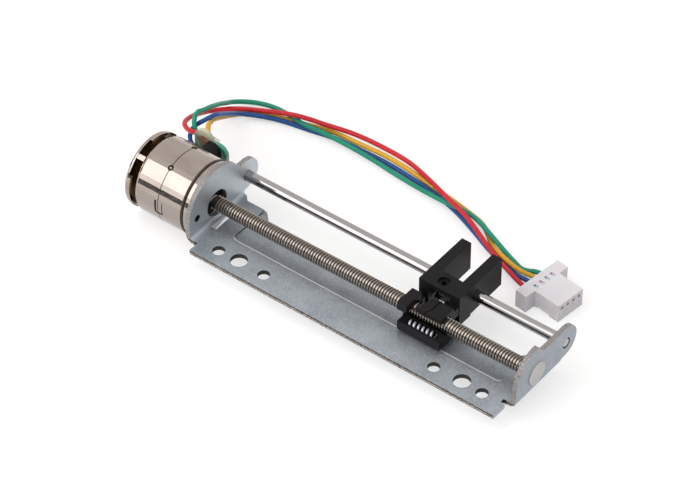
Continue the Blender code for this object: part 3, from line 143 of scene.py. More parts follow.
# Finish of the bracket. A pair is where a fade starts and stops, and a trio is the middle, half width
# and fade of a band.
ZINC_DARK = (0.305, 0.34, 0.385, 1)
ZINC_PALE = (0.405, 0.445, 0.495, 1)
ZINC_SPECK = (0.66, 0.67, 0.68, 1)
SPECK_SHARE = 0.55
# Painted light on the motor plate, and painted shade on the far plate
MOTOR_PLATE_PAINTED_LIGHT = (0.56, 0.605, 0.65, 1)
MOTOR_PLATE_LIGHT_SHARE = 0.9
MOTOR_PLATE_LIGHT_END = (-34.0 * MM, -36.0 * MM)
FAR_PLATE_PAINTED_SHADE = (0.27, 0.30, 0.335, 1)
FAR_PLATE_SHADE_SHARE = 0.4
FAR_PLATE_SHADE_END = (36.2 * MM, 36.6 * MM)
# Painted highlight along the pressed step
CHANNEL_PAINTED_HIGHLIGHT = (0.92, 0.92, 0.92, 1)
EDGE_DARK = (0.090, 0.076, 0.070, 1)
EDGE_PALE = (0.50, 0.46, 0.44, 1)
RIM_DARK = (0.19, 0.17, 0.165, 1)
RIM_PALE = (0.43, 0.41, 0.405, 1)
SHEAR_DARK = (0.035, 0.03, 0.028, 1)
SHEAR_BAND = (0.72 * MM, 0.09 * MM, 0.07 * MM)
# Painted shade in the bracket's holes
HOLE_PAINTED_SHADE = (0.045, 0.04, 0.038, 1)
HOLE_SHADE_BAND = (0.0, 2.0 * MM, 0.3 * MM)
BASE_HEIGHT = (1.25 * MM, 1.1 * MM)
PLATE_HEIGHT = (1.7 * MM, 1.9 * MM)
BETWEEN_PLATES = (35.2 * MM, 34.8 * MM)
UPRIGHT = (0.35, 0.25)
SIDEWAYS = (0.85, 0.95)
LEVEL = (0.8, 0.9)
SHEET_CLOUD = 4.0 * MM
SHEET_GRAIN = 0.30 * MM
SHEET_TORN = 0.22 * MM
SHEET_RELIEF = 0.03 * MM
GRAIN_RELIEF = 0.2

# Pressed step in the bracket's base, and the painted highlight along it
CHANNEL_MIDDLE = 0.75 * MM
CHANNEL_HALF = 30.75 * MM
CHANNEL_LINE = 4.25 * MM
CHANNEL_CORNER = 1.2 * MM
HIGHLIGHT_BAND = (0.13 * MM, 0.10 * MM, 0.05 * MM)
HIGHLIGHT_END = (1.15 * MM, 0.7 * MM)

# Finish of the motor can, with its seam, dimples and slots, and painted shade under it, inside it and in its
# pin hole
NICKEL_DARK = (0.40, 0.342, 0.308, 1)
NICKEL_PALE = (0.48, 0.412, 0.372, 1)
# Painted shade on the can's underside
NICKEL_UNDERSIDE_SHADE = (0.33, 0.285, 0.26, 1)
# Painted shade inside the can
NICKEL_INSIDE_SHADE = (0.36, 0.31, 0.28, 1)
# Dark joints, and painted shade in the pin hole
NICKEL_MARK_AND_HOLE_SHADE = (0.03, 0.025, 0.022, 1)
UNDERSIDE_SHADE_SHARE = 0.8
UNDERSIDE_SHADE_FADE = (0.45, 0.15)
LIP_SHARE = 0.85
SEAM_X = -43.97 * MM
SEAM_WIDTH = 0.05 * MM
CAN_BACK = -52.2 * MM
CUP_FRONT = -38.3 * MM
PIN_HOLE = (-36.8 * MM, 1.45 * MM, 4.55 * MM)
DIMPLE_TURNS = (117, 64)
DIMPLE_BAND = (0.48 * MM, 0.09 * MM, 0.08 * MM)
TONGUE_BACK = 0.6 * MM
TONGUE_FRONT = 0.9 * MM
TONGUE_HALF_HEIGHT = 1.4 * MM
MARK_FADE = 0.05 * MM
NICKEL_CLOUD = 2.5 * MM
NICKEL_GRAIN = 0.25 * MM
NICKEL_RELIEF = 0.0012 * MM

# Finish of the terminal board, with pads as (x, z, radius) in millimetres
LAMINATE_DARK = (0.10, 0.24, 0.16, 1)
LAMINATE_PALE = (0.42, 0.46, 0.33, 1)
LAMINATE_TOP = (0.55, 0.52, 0.40, 1)
LAMINATE_RIM = (0.04, 0.30, 0.22, 1)
PAD_COPPER = (0.36, 0.12, 0.07, 1)
BOARD_FACE = 16.25 * MM
BOARD_PADS = ((-46.6, 7.9, 0.9), (-45.4, 7.6, 0.9), (-42.1, 7.7, 0.7))
BOARD_TOP = (8.0 * MM, 9.6 * MM)
BOARD_RIM = (-36.0 * MM, -34.6 * MM)

# Colours of the wires
INSULATION = {
    "red": (0.56, 0.014, 0.026),
    "green": (0.006, 0.25, 0.16),
    "blue": (0.012, 0.075, 0.27),
    "yellow": (0.66, 0.36, 0.022),
}

# Finish of each CAD node; pins and crimp contacts are tinned, and a wire has its own colour
NODE_FINISH = {
    "bracket": "bracket",
    "guide_rod": "rod",
    "lead_screw": "screw",
    "front_flange": "nickel",
    "front_cup": "nickel",
    "rear_cup": "nickel",
    "rear_cap": "nickel",
    "front_yoke": "yoke",
    "rear_yoke": "yoke",
    "thrust_spring": "spring",
    "preload_spring": "spring",
    # The jaw spring gets a copy of the spring steel with painted shade
    "jaw_spring": "shaded_spring",
    "slider_body": "black",
    "nut_carrier": "black",
    "nut_jaw": "black",
    "terminal_block": "black",
    "front_bearing": "black",
    "rotor_hub": "black",
    "front_bobbin": "black",
    "rear_bobbin": "black",
    "end_bush": "bush",
    "front_winding": "copper",
    "rear_winding": "copper",
    "bearing_plate": "brass",
    "rear_bearing": "brass",
    "rotor_magnet": "magnet",
    "terminal_board": "board",
    "connector_housing": "connector",
}
OTHER_FINISH = "tin"

# Wires: routes as (x, y, height above the resting level) in millimetres, as in the CAD source
WIRE_DIAMETER = 0.98 * MM
WIRE_SAMPLES = 40
CURVE_STEPS = 16
RED_ROUTE = [
    (-12.2, 11.1, 10.3), (-14.4, 11.3, 9.5), (-16.4, 11.7, 8.8), (-18.7, 13.1, 8.2),
    (-20.0, 16.1, 7.0), (-20.7, 18.9, 5.4), (-21.4, 21.6, 3.6), (-21.9, 24.3, 1.9), (-20.3, 27.0, 1.4),
    (-17.5, 28.8, 1.7), (-14.6, 30.5, 1.7), (-11.6, 31.7, 2.0), (-8.4, 32.5, 2.6), (-5.2, 33.5, 2.6),
    (-2.1, 34.6, 2.1), (4.3, 36.4, 1.6), (10.9, 36.9, 1.4), (17.5, 36.4, 1.5), (23.9, 34.4, 1.9),
    (30.0, 31.9, 2.5), (33.2, 30.9, 2.5), (36.3, 30.0, 2.0), (42.3, 27.1, 1.6), (45.3, 25.7, 1.4),
    (48.3, 24.3, 1.6), (51.3, 22.9, 1.9),
]
GREEN_ROUTE = [
    (-11.0, 11.9, 4.4), (-13.4, 12.8, 6.2), (-15.5, 12.7, 8.4), (-16.5, 13.3, 9.9),
    (-17.1, 14.8, 10.4), (-17.3, 16.6, 9.7), (-17.8, 19.3, 8.5), (-18.5, 22.0, 6.8),
    (-19.2, 24.7, 5.0), (-19.9, 27.2, 3.1), (-20.0, 30.0, 1.4), (-17.9, 32.2, 0.9), (-14.8, 33.2, 1.1),
    (-11.6, 33.5, 1.3), (-8.4, 33.1, 1.5), (-5.1, 32.7, 1.6), (-1.9, 33.1, 1.5), (4.7, 33.4, 1.2),
    (11.2, 33.2, 1.0), (17.7, 32.6, 0.9), (24.3, 32.0, 1.1), (30.8, 31.6, 1.5), (34.1, 31.8, 1.5),
    (37.2, 31.4, 1.5), (40.2, 30.1, 1.7), (43.2, 28.8, 1.7), (46.3, 27.7, 1.3), (49.3, 26.4, 1.5),
    (52.2, 25.3, 1.8),
]
BLUE_ROUTE = [
    (-12.2, 11.2, 5.8), (-14.8, 11.3, 5.7), (-16.6, 11.9, 7.0), (-16.8, 13.8, 8.0), (-15.5, 15.2, 9.3),
    (-14.7, 16.7, 9.8), (-15.2, 19.0, 8.3), (-15.7, 21.4, 6.5), (-16.2, 23.8, 4.6), (-16.5, 26.2, 2.8),
    (-15.8, 28.6, 1.3), (-13.2, 30.1, 1.1), (-10.5, 31.4, 0.8), (-7.6, 32.3, 0.6), (-4.6, 32.9, 0.5),
    (1.4, 34.1, 0.5), (7.5, 34.4, 0.5), (13.6, 34.5, 0.5), (19.6, 34.0, 0.5), (25.7, 33.2, 0.5),
    (31.6, 31.8, 0.5), (37.3, 29.6, 0.5), (42.9, 27.1, 0.5), (45.8, 26.1, 0.5), (48.6, 25.1, 0.9),
    (51.4, 23.9, 1.3),
]
YELLOW_ROUTE = [
    (-10.6, 11.5, 8.6), (-12.6, 12.8, 9.6), (-13.9, 14.7, 9.6), (-14.9, 16.7, 8.3), (-16.1, 18.7, 6.8),
    (-17.1, 21.1, 4.9), (-18.0, 23.5, 3.0), (-18.3, 26.1, 1.4), (-17.4, 28.8, 0.5), (-14.7, 30.5, 0.5),
    (-11.9, 32.0, 0.5), (-8.9, 33.0, 0.5), (-5.9, 33.9, 0.5), (0.3, 35.3, 0.6), (6.6, 35.2, 1.1),
    (13.0, 35.4, 1.2), (19.3, 35.1, 0.9), (25.5, 34.3, 0.6), (31.8, 33.3, 0.6), (38.0, 31.9, 0.6),
    (40.6, 30.2, 0.6), (43.1, 28.2, 0.8), (45.8, 26.6, 1.4), (48.7, 25.5, 1.8), (51.7, 24.4, 2.2),
]

# Pins that the wires are soldered to, and their solder
TERMINAL_X = -8.0 * MM
PIN_SPACING_X = 1.7 * MM
PIN_SPACING_Z = 2.0 * MM
BOARD_BACK = 9.8 * MM
PIN_STAND = 0.4 * MM
SEAT = 0.05 * MM
WIRE_OVERLAP = 0.6 * MM
SOLDER_SIZE = Vector((0.85 * MM, 0.95 * MM, 0.72 * MM))
SOLDER_OFFSET_X = 0.1 * MM
SOLDER_STAND = 0.62 * MM
SOLDER_WAVE = 0.06

# Connector: its place, its ways and their latch tongues
HOUSING_X = 56.3 * MM
HOUSING_Y = 23.8 * MM
HOUSING_TURN = math.radians(-7.5)
HOUSING_HEIGHT = 4.0 * MM
WAYS = 4
WAY_PITCH = 1.5 * MM
WIRE_LEAD = 1.6 * MM
WIRE_END = 1.4 * MM
LATCH_START = 1.40 * MM
LATCH_STOP = 2.62 * MM
LATCH_HALF_WIDTH = 0.32 * MM
LATCH_FOOT = 2.75 * MM
LATCH_LOW = 3.45 * MM
LATCH_HIGH = 3.92 * MM
LATCH_ROUNDING = 0.04 * MM


class Nodes:
    """Short way to write a node material."""

    def __init__(self, name):
        self.material = bpy.data.materials.new(name)
        self.material.use_nodes = True
        self.tree = self.material.node_tree
        self.shader = self.tree.nodes["Principled BSDF"]
        self.coordinates = None

    def add(self, kind, **settings):
        """A new node, with some of its own settings."""
        node = self.tree.nodes.new(kind)
        for key, value in settings.items():
            setattr(node, key, value)
        return node

    def link(self, source, target):
        self.tree.links.new(source, target)

    def set(self, **values):
        """Plain values on the shader's own sockets."""
        for key, value in values.items():
            self.shader.inputs[key.replace("_", " ")].default_value = value

    def colour(self, value):
        self.link(value, self.shader.inputs["Base Color"])

    def roughness(self, value):
        self.link(value, self.shader.inputs["Roughness"])

    def texture(self, kind):
        """Object coordinates, or the object's own normals."""
        if self.coordinates is None:
            self.coordinates = self.add("ShaderNodeTexCoord")
        return self.coordinates.outputs[kind]

    def axes(self, kind="Object"):
        """The three parts of the object coordinates, or of the normals."""
        parts = self.add("ShaderNodeSeparateXYZ")
        self.link(self.texture(kind), parts.inputs[0])
        return parts.outputs

    def math(self, operation, *values):
        """Result of a Math node for numbers or sockets."""
        node = self.add("ShaderNodeMath", operation=operation)
        for socket, value in zip(node.inputs, values):
            if isinstance(value, (int, float)):
                socket.default_value = value
            else:
                self.link(value, socket)
        return node.outputs[0]

    def product(self, *values):
        """Product of two or more numbers or sockets."""
        result = values[0]
        for value in values[1:]:
            result = self.math("MULTIPLY", result, value)
        return result

    def largest(self, *values):
        """Largest of two or more numbers or sockets."""
        result = values[0]
        for value in values[1:]:
            result = self.math("MAXIMUM", result, value)
        return result

    def length(self, first, second):
        """Length of a vector with these two parts."""
        squares = self.math("ADD", self.product(first, first), self.product(second, second))
        return self.math("SQRT", squares)

    def rise(self, value, start, stop):
        """Goes from 0 to 1 between two values, smoothly; the start may be the larger one."""
        node = self.add("ShaderNodeMapRange", interpolation_type="SMOOTHSTEP")
        node.inputs["From Min"].default_value = start
        node.inputs["From Max"].default_value = stop
        self.link(value, node.inputs["Value"])
        return node.outputs["Result"]

    def near(self, value, middle, half_width, soft):
        """Is 1 within half_width of a middle value, and fades over a soft width."""
        off = self.math("ABSOLUTE", self.math("SUBTRACT", value, middle))
        return self.rise(off, half_width + soft, half_width)

    def away(self, point):
        """Distance from a point in the part's frame."""
        node = self.add("ShaderNodeVectorMath", operation="DISTANCE")
        self.link(self.texture("Object"), node.inputs[0])
        node.inputs[1].default_value = point
        return node.outputs["Value"]

    def mix(self, share, first, second):
        """Mixes two colours, each a socket or a plain colour."""
        node = self.add("ShaderNodeMix", data_type="RGBA")
        self.link(share, node.inputs[0])
        for socket, value in ((node.inputs[6], first), (node.inputs[7], second)):
            if isinstance(value, tuple):
                socket.default_value = value
            else:
                self.link(value, socket)
        return node.outputs[2]

    def noise(self, size, detail=4.0, stretch=(1, 1, 1)):
        """Noise whose grains are about this size in metres, on stretched object coordinates."""
        mapping = self.add("ShaderNodeMapping")
        mapping.inputs["Scale"].default_value = stretch
        self.link(self.texture("Object"), mapping.inputs["Vector"])
        node = self.add("ShaderNodeTexNoise")
        node.inputs["Scale"].default_value = 1.0 / size
        node.inputs["Detail"].default_value = detail
        self.link(mapping.outputs["Vector"], node.inputs["Vector"])
        return node.outputs["Fac"]

    def ramp(self, value, low, high, low_at=0.35, high_at=0.65):
        """Colour or grey between two ends of a value."""
        node = self.add("ShaderNodeValToRGB")
        node.color_ramp.elements[0].position = low_at
        node.color_ramp.elements[1].position = high_at
        node.color_ramp.elements[0].color = low
        node.color_ramp.elements[1].color = high
        self.link(value, node.inputs["Fac"])
        return node.outputs["Color"]

    def bump(self, value, depth):
        """Bump of this depth in metres."""
        node = self.add("ShaderNodeBump")
        node.inputs["Strength"].default_value = 1.0
        node.inputs["Distance"].default_value = depth
        self.link(value, node.inputs["Height"])
        self.link(node.outputs["Normal"], self.shader.inputs["Normal"])


def grey(value):
    return (value, value, value, 1.0)


def shade(colour, factor):
    return (colour[0] * factor, colour[1] * factor, colour[2] * factor, 1.0)


def metal(name, colour, roughness, spread, grain, depth, stretch=(1, 1, 1), variation=0.08, share=1.0):
    """Metal with slight colour variation, uneven gloss and a fine surface."""
    made = Nodes(name)
    made.set(Metallic=share)
    large = made.noise(grain * 14, 3.0, stretch)
    made.colour(made.ramp(large, shade(colour, 1 - variation), shade(colour, 1 + variation)))
    fine = made.noise(grain, 5.0, stretch)
    made.roughness(made.ramp(fine, grey(roughness - spread), grey(roughness + spread)))
    made.bump(fine, depth)
    return made.material


def plastic(name, colour, roughness, grain, depth, variation=0.06, subsurface=0.0, scatter=0.4 * MM,
            level=0.5):
    """Moulded plastic with a fine texture."""
    made = Nodes(name)
    large = made.noise(grain * 20, 3.0)
    made.colour(made.ramp(large, shade(colour, 1 - variation), shade(colour, 1 + variation)))
    fine = made.noise(grain, 4.0)
    made.roughness(made.ramp(fine, grey(roughness - 0.05), grey(roughness + 0.05)))
    if subsurface:
        made.set(Subsurface_Weight=subsurface, Subsurface_Scale=scatter)
    made.set(Specular_IOR_Level=level)
    made.bump(fine, depth)
    return made.material


def sheet_colour_and_painted_light(made, place_of, grain):
    """Zinc with paler specks; painted light makes the motor plate lighter, and painted shade makes the far
    plate darker.
    """
    face = made.ramp(made.noise(SHEET_CLOUD, 5.0), ZINC_DARK, ZINC_PALE, 0.3, 0.7)
    specks = made.rise(grain, 0.45, 0.75)
    face = made.mix(made.product(specks, SPECK_SHARE), face, ZINC_SPECK)
    # Painted light on the motor plate and painted shade on the far plate
    motor_plate_light = made.rise(place_of[0], *MOTOR_PLATE_LIGHT_END)
    face = made.mix(made.product(motor_plate_light, MOTOR_PLATE_LIGHT_SHARE), face, MOTOR_PLATE_PAINTED_LIGHT)
    far_plate_shade = made.rise(place_of[0], *FAR_PLATE_SHADE_END)
    return made.mix(made.product(far_plate_shade, FAR_PLATE_SHADE_SHARE), face, FAR_PLATE_PAINTED_SHADE)


def edge_colour_and_hole_shade(made, place_of, torn, base_edge, plate_edge):
    """Torn cut edges with a dark shear line; even round the plates, and painted shade in the holes."""
    edge = made.ramp(torn, EDGE_DARK, EDGE_PALE, 0.34, 0.62)
    edge = made.mix(made.near(place_of[2], *SHEAR_BAND), edge, SHEAR_DARK)
    rim = made.ramp(torn, RIM_DARK, RIM_PALE, 0.32, 0.62)
    edge = made.mix(plate_edge, edge, rim)
    # Painted shade in the holes and in the pin hole
    holes = made.product(base_edge, made.near(place_of[1], *HOLE_SHADE_BAND))
    pin_hole = made.rise(made.away(PIN_HOLE), 1.5 * MM, 1.2 * MM)
    return made.mix(made.largest(holes, pin_hole), edge, HOLE_PAINTED_SHADE)


def channel_painted_highlight(made, place_of, upward, low):
    """Is 1 on the painted highlight along the pressed step, which fades in the step's round corners."""
    along = made.math("ABSOLUTE", made.math("SUBTRACT", place_of[0], CHANNEL_MIDDLE))
    along = made.largest(made.math("SUBTRACT", along, CHANNEL_HALF - CHANNEL_CORNER), 0.0)
    across = made.largest(made.math("SUBTRACT", CHANNEL_LINE + CHANNEL_CORNER, place_of[1]), 0.0)
    from_step = made.math("SUBTRACT", made.length(along, across), CHANNEL_CORNER)
    line = made.near(from_step, *HIGHLIGHT_BAND)
    return made.product(line, low, made.rise(upward, *LEVEL), made.rise(along, *HIGHLIGHT_END))


def bracket_material():
    """Zinc-plated sheet: satin faces, rough cut edges, and a painted highlight along the pressed step."""
    made = Nodes("zinc_plated_steel")
    made.set(Metallic=0.8)
    place_of = made.axes()
    facing = [made.math("ABSOLUTE", part) for part in made.axes("Normal")]
    low = made.rise(place_of[2], *BASE_HEIGHT)
    high = made.rise(place_of[2], *PLATE_HEIGHT)
    between = made.rise(made.math("ABSOLUTE", place_of[0]), *BETWEEN_PLATES)
    long_edge = made.rise(facing[1], *SIDEWAYS)
    base_edge = made.product(made.rise(facing[2], *UPRIGHT), low, between)
    plate_edge = made.product(made.rise(facing[0], *UPRIGHT), high)
    cut = made.largest(long_edge, base_edge, plate_edge)
    grain = made.noise(SHEET_GRAIN, 4.0)
    torn = made.noise(SHEET_TORN, 6.0)
    face = sheet_colour_and_painted_light(made, place_of, grain)
    # Painted highlight along the pressed step
    face = made.mix(channel_painted_highlight(made, place_of, facing[2], low), face, CHANNEL_PAINTED_HIGHLIGHT)
    made.colour(made.mix(cut, face, edge_colour_and_hole_shade(made, place_of, torn, base_edge, plate_edge)))
    satin = made.ramp(grain, grey(0.40), grey(0.50))
    made.roughness(made.mix(cut, satin, grey(0.6)))
    made.bump(made.math("ADD", made.product(torn, cut), made.product(grain, GRAIN_RELIEF)), SHEET_RELIEF)
    return made.material


def can_seam(made, place_of):
    """Is 1 on the seam between the two cups, and on the rings round its dimples."""
    outside = made.rise(made.away((SEAM_X, HOLE_LINE, AXIS_Z)), CAN_RADIUS - 0.6 * MM, CAN_RADIUS - 0.4 * MM)
    marks = made.product(made.near(place_of[0], SEAM_X, SEAM_WIDTH, MARK_FADE), outside)
    for turn in DIMPLE_TURNS:
        angle = math.radians(turn)
        centre = (SEAM_X, HOLE_LINE + CAN_RADIUS * math.cos(angle), AXIS_Z + CAN_RADIUS * math.sin(angle))
        marks = made.largest(marks, made.near(made.away(centre), *DIMPLE_BAND))
    return marks


def can_slots(made, place_of):
    """Is 1 on the open lines behind and below the tongue in the seam's front side."""
    front = HOLE_LINE - CAN_RADIUS + 1.0 * MM
    front = made.rise(place_of[1], front + 0.2 * MM, front)
    behind = made.near(place_of[0], SEAM_X - TONGUE_BACK, 0.19 * MM, MARK_FADE)
    behind = made.product(behind, made.near(place_of[2], AXIS_Z, TONGUE_HALF_HEIGHT, 0.1 * MM))
    middle = SEAM_X + (TONGUE_FRONT - TONGUE_BACK) / 2
    half_length = (TONGUE_FRONT + TONGUE_BACK) / 2
    below = made.near(place_of[2], AXIS_Z - TONGUE_HALF_HEIGHT, 0.18 * MM, MARK_FADE)
    below = made.product(below, made.near(place_of[0], middle, half_length, MARK_FADE))
    return made.product(front, made.largest(behind, below))


def can_inside_shade(made, place_of):
    """Is 1 on the inner walls of the can, which get painted shade, and 0 on its outside and its end."""
    from_axis = [made.math("SUBTRACT", place_of[1], HOLE_LINE), made.math("SUBTRACT", place_of[2], AXIS_Z)]
    hollow = made.rise(made.length(*from_axis), CAN_RADIUS - 0.2 * MM, CAN_RADIUS - 0.35 * MM)
    return made.product(hollow, made.rise(place_of[0], CAN_BACK + 0.1 * MM, CAN_BACK + 0.3 * MM))


def nickel_material():
    """Drawn and plated can: warm and glossy, with dark marks where its pieces meet, and painted shade under
    it, inside it and in its pin hole.
    """
    made = Nodes("nickel_plate")
    made.set(Metallic=1.0)
    place_of = made.axes()
    plate = made.ramp(made.noise(NICKEL_CLOUD, 4.0, (0.4, 1, 1)), NICKEL_DARK, NICKEL_PALE, 0.3, 0.7)
    # Painted shade on the can's underside
    underside = made.rise(made.axes("Normal")[2], *UNDERSIDE_SHADE_FADE)
    plate = made.mix(made.product(underside, UNDERSIDE_SHADE_SHARE), plate, NICKEL_UNDERSIDE_SHADE)
    # Painted shade inside the can
    plate = made.mix(can_inside_shade(made, place_of), plate, NICKEL_INSIDE_SHADE)
    lip = made.product(made.near(place_of[0], CUP_FRONT, 0.24 * MM, 0.14 * MM), LIP_SHARE)
    # Painted shade in the pin hole; the other marks are dark joints
    pin_hole = made.rise(made.away(PIN_HOLE), 1.3 * MM, 1.1 * MM)
    marks = made.largest(can_seam(made, place_of), can_slots(made, place_of), lip, pin_hole)
    made.colour(made.mix(marks, plate, NICKEL_MARK_AND_HOLE_SHADE))
    fine = made.noise(NICKEL_GRAIN, 4.0, (0.25, 1, 1))
    gloss = made.ramp(fine, grey(0.10), grey(0.15))
    made.roughness(made.mix(marks, gloss, grey(0.6)))
    made.bump(fine, NICKEL_RELIEF)
    return made.material


def board_material():
    """Thin green laminate with copper pads, pale at its top and with a teal rim at its far side."""
    made = Nodes("board_laminate")
    place_of = made.axes()
    face = made.ramp(made.noise(1.1 * MM, 4.0), LAMINATE_DARK, LAMINATE_PALE, 0.38, 0.62)
    face = made.mix(made.rise(place_of[2], *BOARD_TOP), face, LAMINATE_TOP)
    spots = []
    for x, z, size in BOARD_PADS:
        from_pad = made.away((x * MM, BOARD_FACE, z * MM))
        spots.append(made.rise(from_pad, (size + 0.35) * MM, (size - 0.15) * MM))
    wavy = made.rise(made.noise(0.8 * MM, 3.0), 0.35, 0.5)
    face = made.mix(made.product(made.largest(*spots), wavy), face, PAD_COPPER)
    rim = made.rise(made.math("ADD", place_of[2], place_of[0]), *BOARD_RIM)
    made.colour(made.mix(rim, face, LAMINATE_RIM))
    made.roughness(made.ramp(made.noise(0.3 * MM), grey(0.22), grey(0.38)))
    made.set(Subsurface_Weight=0.35, Subsurface_Scale=0.5 * MM, Coat_Weight=0.4, Coat_Roughness=0.15)
    made.bump(made.noise(0.35 * MM, 3.0), 0.02 * MM)
    return made.material


def make_metals():
    """Plain metals of the object, from the photograph where it shows them, and a copy of the spring steel
    darkened with painted shade.
    """
    return {
        "rod": metal("polished_steel", (0.42, 0.41, 0.41), 0.08, 0.02, 0.10 * MM, 0.0003 * MM,
                     stretch=(0.1, 1, 1), variation=0.02),
        "screw": metal("screw_steel", (0.34, 0.305, 0.275), 0.25, 0.05, 0.08 * MM, 0.001 * MM),
        "spring": metal("spring_steel", (0.62, 0.64, 0.70), 0.32, 0.04, 0.05 * MM, 0.001 * MM, share=0.55),
        # Copy of the spring steel with painted shade, for the jaw spring
        "shaded_spring": metal("spring_steel_painted_shade", (0.16, 0.16, 0.17), 0.4, 0.05, 0.05 * MM, 0.001 * MM,
                             share=0.55),
        "yoke": metal("yoke_steel", (0.12, 0.11, 0.10), 0.4, 0.05, 0.1 * MM, 0.003 * MM),
        "copper": metal("copper", (0.70, 0.33, 0.18), 0.3, 0.05, 0.1 * MM, 0.004 * MM),
        "brass": metal("brass", (0.66, 0.50, 0.24), 0.3, 0.05, 0.1 * MM, 0.003 * MM),
        "solder": metal("solder", (0.72, 0.71, 0.69), 0.22, 0.05, 0.2 * MM, 0.01 * MM),
        "tin": metal("tin", (0.72, 0.70, 0.66), 0.25, 0.05, 0.1 * MM, 0.002 * MM),
    }


def make_plastics():
    """Plastics and the magnet of the object, from the photograph where it shows them."""
    plastics = {
        "black": plastic("black_plastic", (0.0085, 0.0075, 0.0085), 0.40, 0.12 * MM, 0.003 * MM, level=0.15),
        "magnet": plastic("magnet", (0.05, 0.048, 0.045), 0.5, 0.12 * MM, 0.005 * MM),
        "bush": plastic("bush_plastic", (0.62, 0.61, 0.60), 0.45, 0.15 * MM, 0.003 * MM,
                        variation=0.03, subsurface=0.3),
        "connector": plastic("connector_plastic", (0.70, 0.685, 0.715), 0.38, 0.15 * MM, 0.002 * MM,
                             variation=0.015, subsurface=0.5, scatter=0.8 * MM),
    }
    for name, colour in INSULATION.items():
        plastics[name] = plastic(name + "_insulation", colour, 0.4, 0.25 * MM, 0.003 * MM, level=0.35)
    return plastics


def make_materials():
    """Every finish of the object by name."""
    finishes = {"bracket": bracket_material(), "nickel": nickel_material(), "board": board_material()}
    return {**finishes, **make_metals(), **make_plastics()}


def round_edges(node, width):
    """Rounds the sharp edges of a CAD node with modifiers."""
    weld = node.modifiers.new("weld", "WELD")
    weld.merge_threshold = WELD_DISTANCE
    bevel = node.modifiers.new("bevel", "BEVEL")
    bevel.width = width
    bevel.segments = 2
    bevel.limit_method = "ANGLE"
    bevel.angle_limit = math.radians(ROUNDING_ANGLE)
    bevel.harden_normals = True


def finish_nodes(nodes, materials):
    """Gives each CAD node its finish, and rounds the edges of the larger plastic ones."""
    for name, node in nodes.items():
        finish = NODE_FINISH.get(name, OTHER_FINISH)
        if name.startswith("wire_"):
            finish = name.split("_")[1]
        node.data.materials.clear()
        node.data.materials.append(materials[finish])
        if name in ROUNDING:
            round_edges(node, ROUNDING[name])


def collection_add(thing):
    """Links a new object into the scene."""
    bpy.context.scene.collection.objects.link(thing)
    return thing


def mesh_object(name, bm, material, smooth=35):
    """A mesh object from a bmesh."""
    mesh = bpy.data.meshes.new(name)
    bm.to_mesh(mesh)
    bm.free()
    mesh.shade_smooth()
    mesh.set_sharp_from_angle(angle=math.radians(smooth))
    mesh.materials.append(material)
    return collection_add(bpy.data.objects.new(name, mesh))


def block(name, corners, material, matrix=None, rounding=0.05 * MM):
    """A small block with rounded edges between two corners, or a wedge from its eight corners."""
    bm = bmesh.new()
    if len(corners) == 2:
        low, high = corners
        corners = [(x, y, z) for z in (low[2], high[2]) for y in (low[1], high[1]) for x in (low[0], high[0])]
    points = [bm.verts.new(corner) for corner in corners]
    for face in ((0, 2, 3, 1), (4, 5, 7, 6), (0, 1, 5, 4), (2, 6, 7, 3), (0, 4, 6, 2), (1, 3, 7, 5)):
        bm.faces.new([points[i] for i in face])
    bmesh.ops.bevel(bm, geom=list(bm.edges), offset=rounding, segments=2, profile=0.5, affect="EDGES")
    bmesh.ops.recalc_face_normals(bm, faces=bm.faces)
    if matrix is not None:
        bm.transform(matrix)
    return mesh_object(name, bm, material, 30)


def thread_rows(bm):
    """Rings of points of the thread, one for each corner of its profile in each turn."""
    turns = int((THREAD_STOP - THREAD_START) / THREAD_PITCH) + 2
    rows = []
    for turn in range(turns):
        for share, radius in THREAD_PROFILE:
            row = []
            for side in range(THREAD_SIDES):
                part = side / THREAD_SIDES
                x = THREAD_START + (turn - 1 + share + part) * THREAD_PITCH
                inside = min(x - THREAD_START, THREAD_STOP - x) / THREAD_PITCH
                depth = min(max(inside, 0.0), 1.0)
                r = ROOT_RADIUS + (radius - ROOT_RADIUS) * depth
                x = min(max(x, THREAD_START), THREAD_STOP)
                angle = -2 * math.pi * part
                row.append(bm.verts.new((x, r * math.cos(angle), AXIS_Z + r * math.sin(angle))))
            rows.append(row)
    return rows


def join_rows(bm, rows):
    """Faces between the rings; the last side of a ring meets the first side of the next turn's."""
    per_turn = len(THREAD_PROFILE)
    for k in range(len(rows) - 1):
        for side in range(THREAD_SIDES):
            if side < THREAD_SIDES - 1:
                corners = (rows[k][side], rows[k + 1][side], rows[k + 1][side + 1], rows[k][side + 1])
            elif k + 1 + per_turn < len(rows):
                corners = (rows[k][side], rows[k + 1][side], rows[k + 1 + per_turn][0], rows[k + per_turn][0])
            else:
                continue
            bm.faces.new(corners)


def add_journal(bm, start, stop):
    """Plain round end of the screw, from one x to another."""
    middle = Matrix.Translation(((start + stop) / 2, 0, AXIS_Z)) @ Matrix.Rotation(math.radians(90), 4, "Y")
    bmesh.ops.create_cone(
        bm, cap_ends=True, segments=THREAD_SIDES, radius1=JOURNAL_RADIUS, radius2=JOURNAL_RADIUS,
        depth=stop - start, matrix=middle,
    )


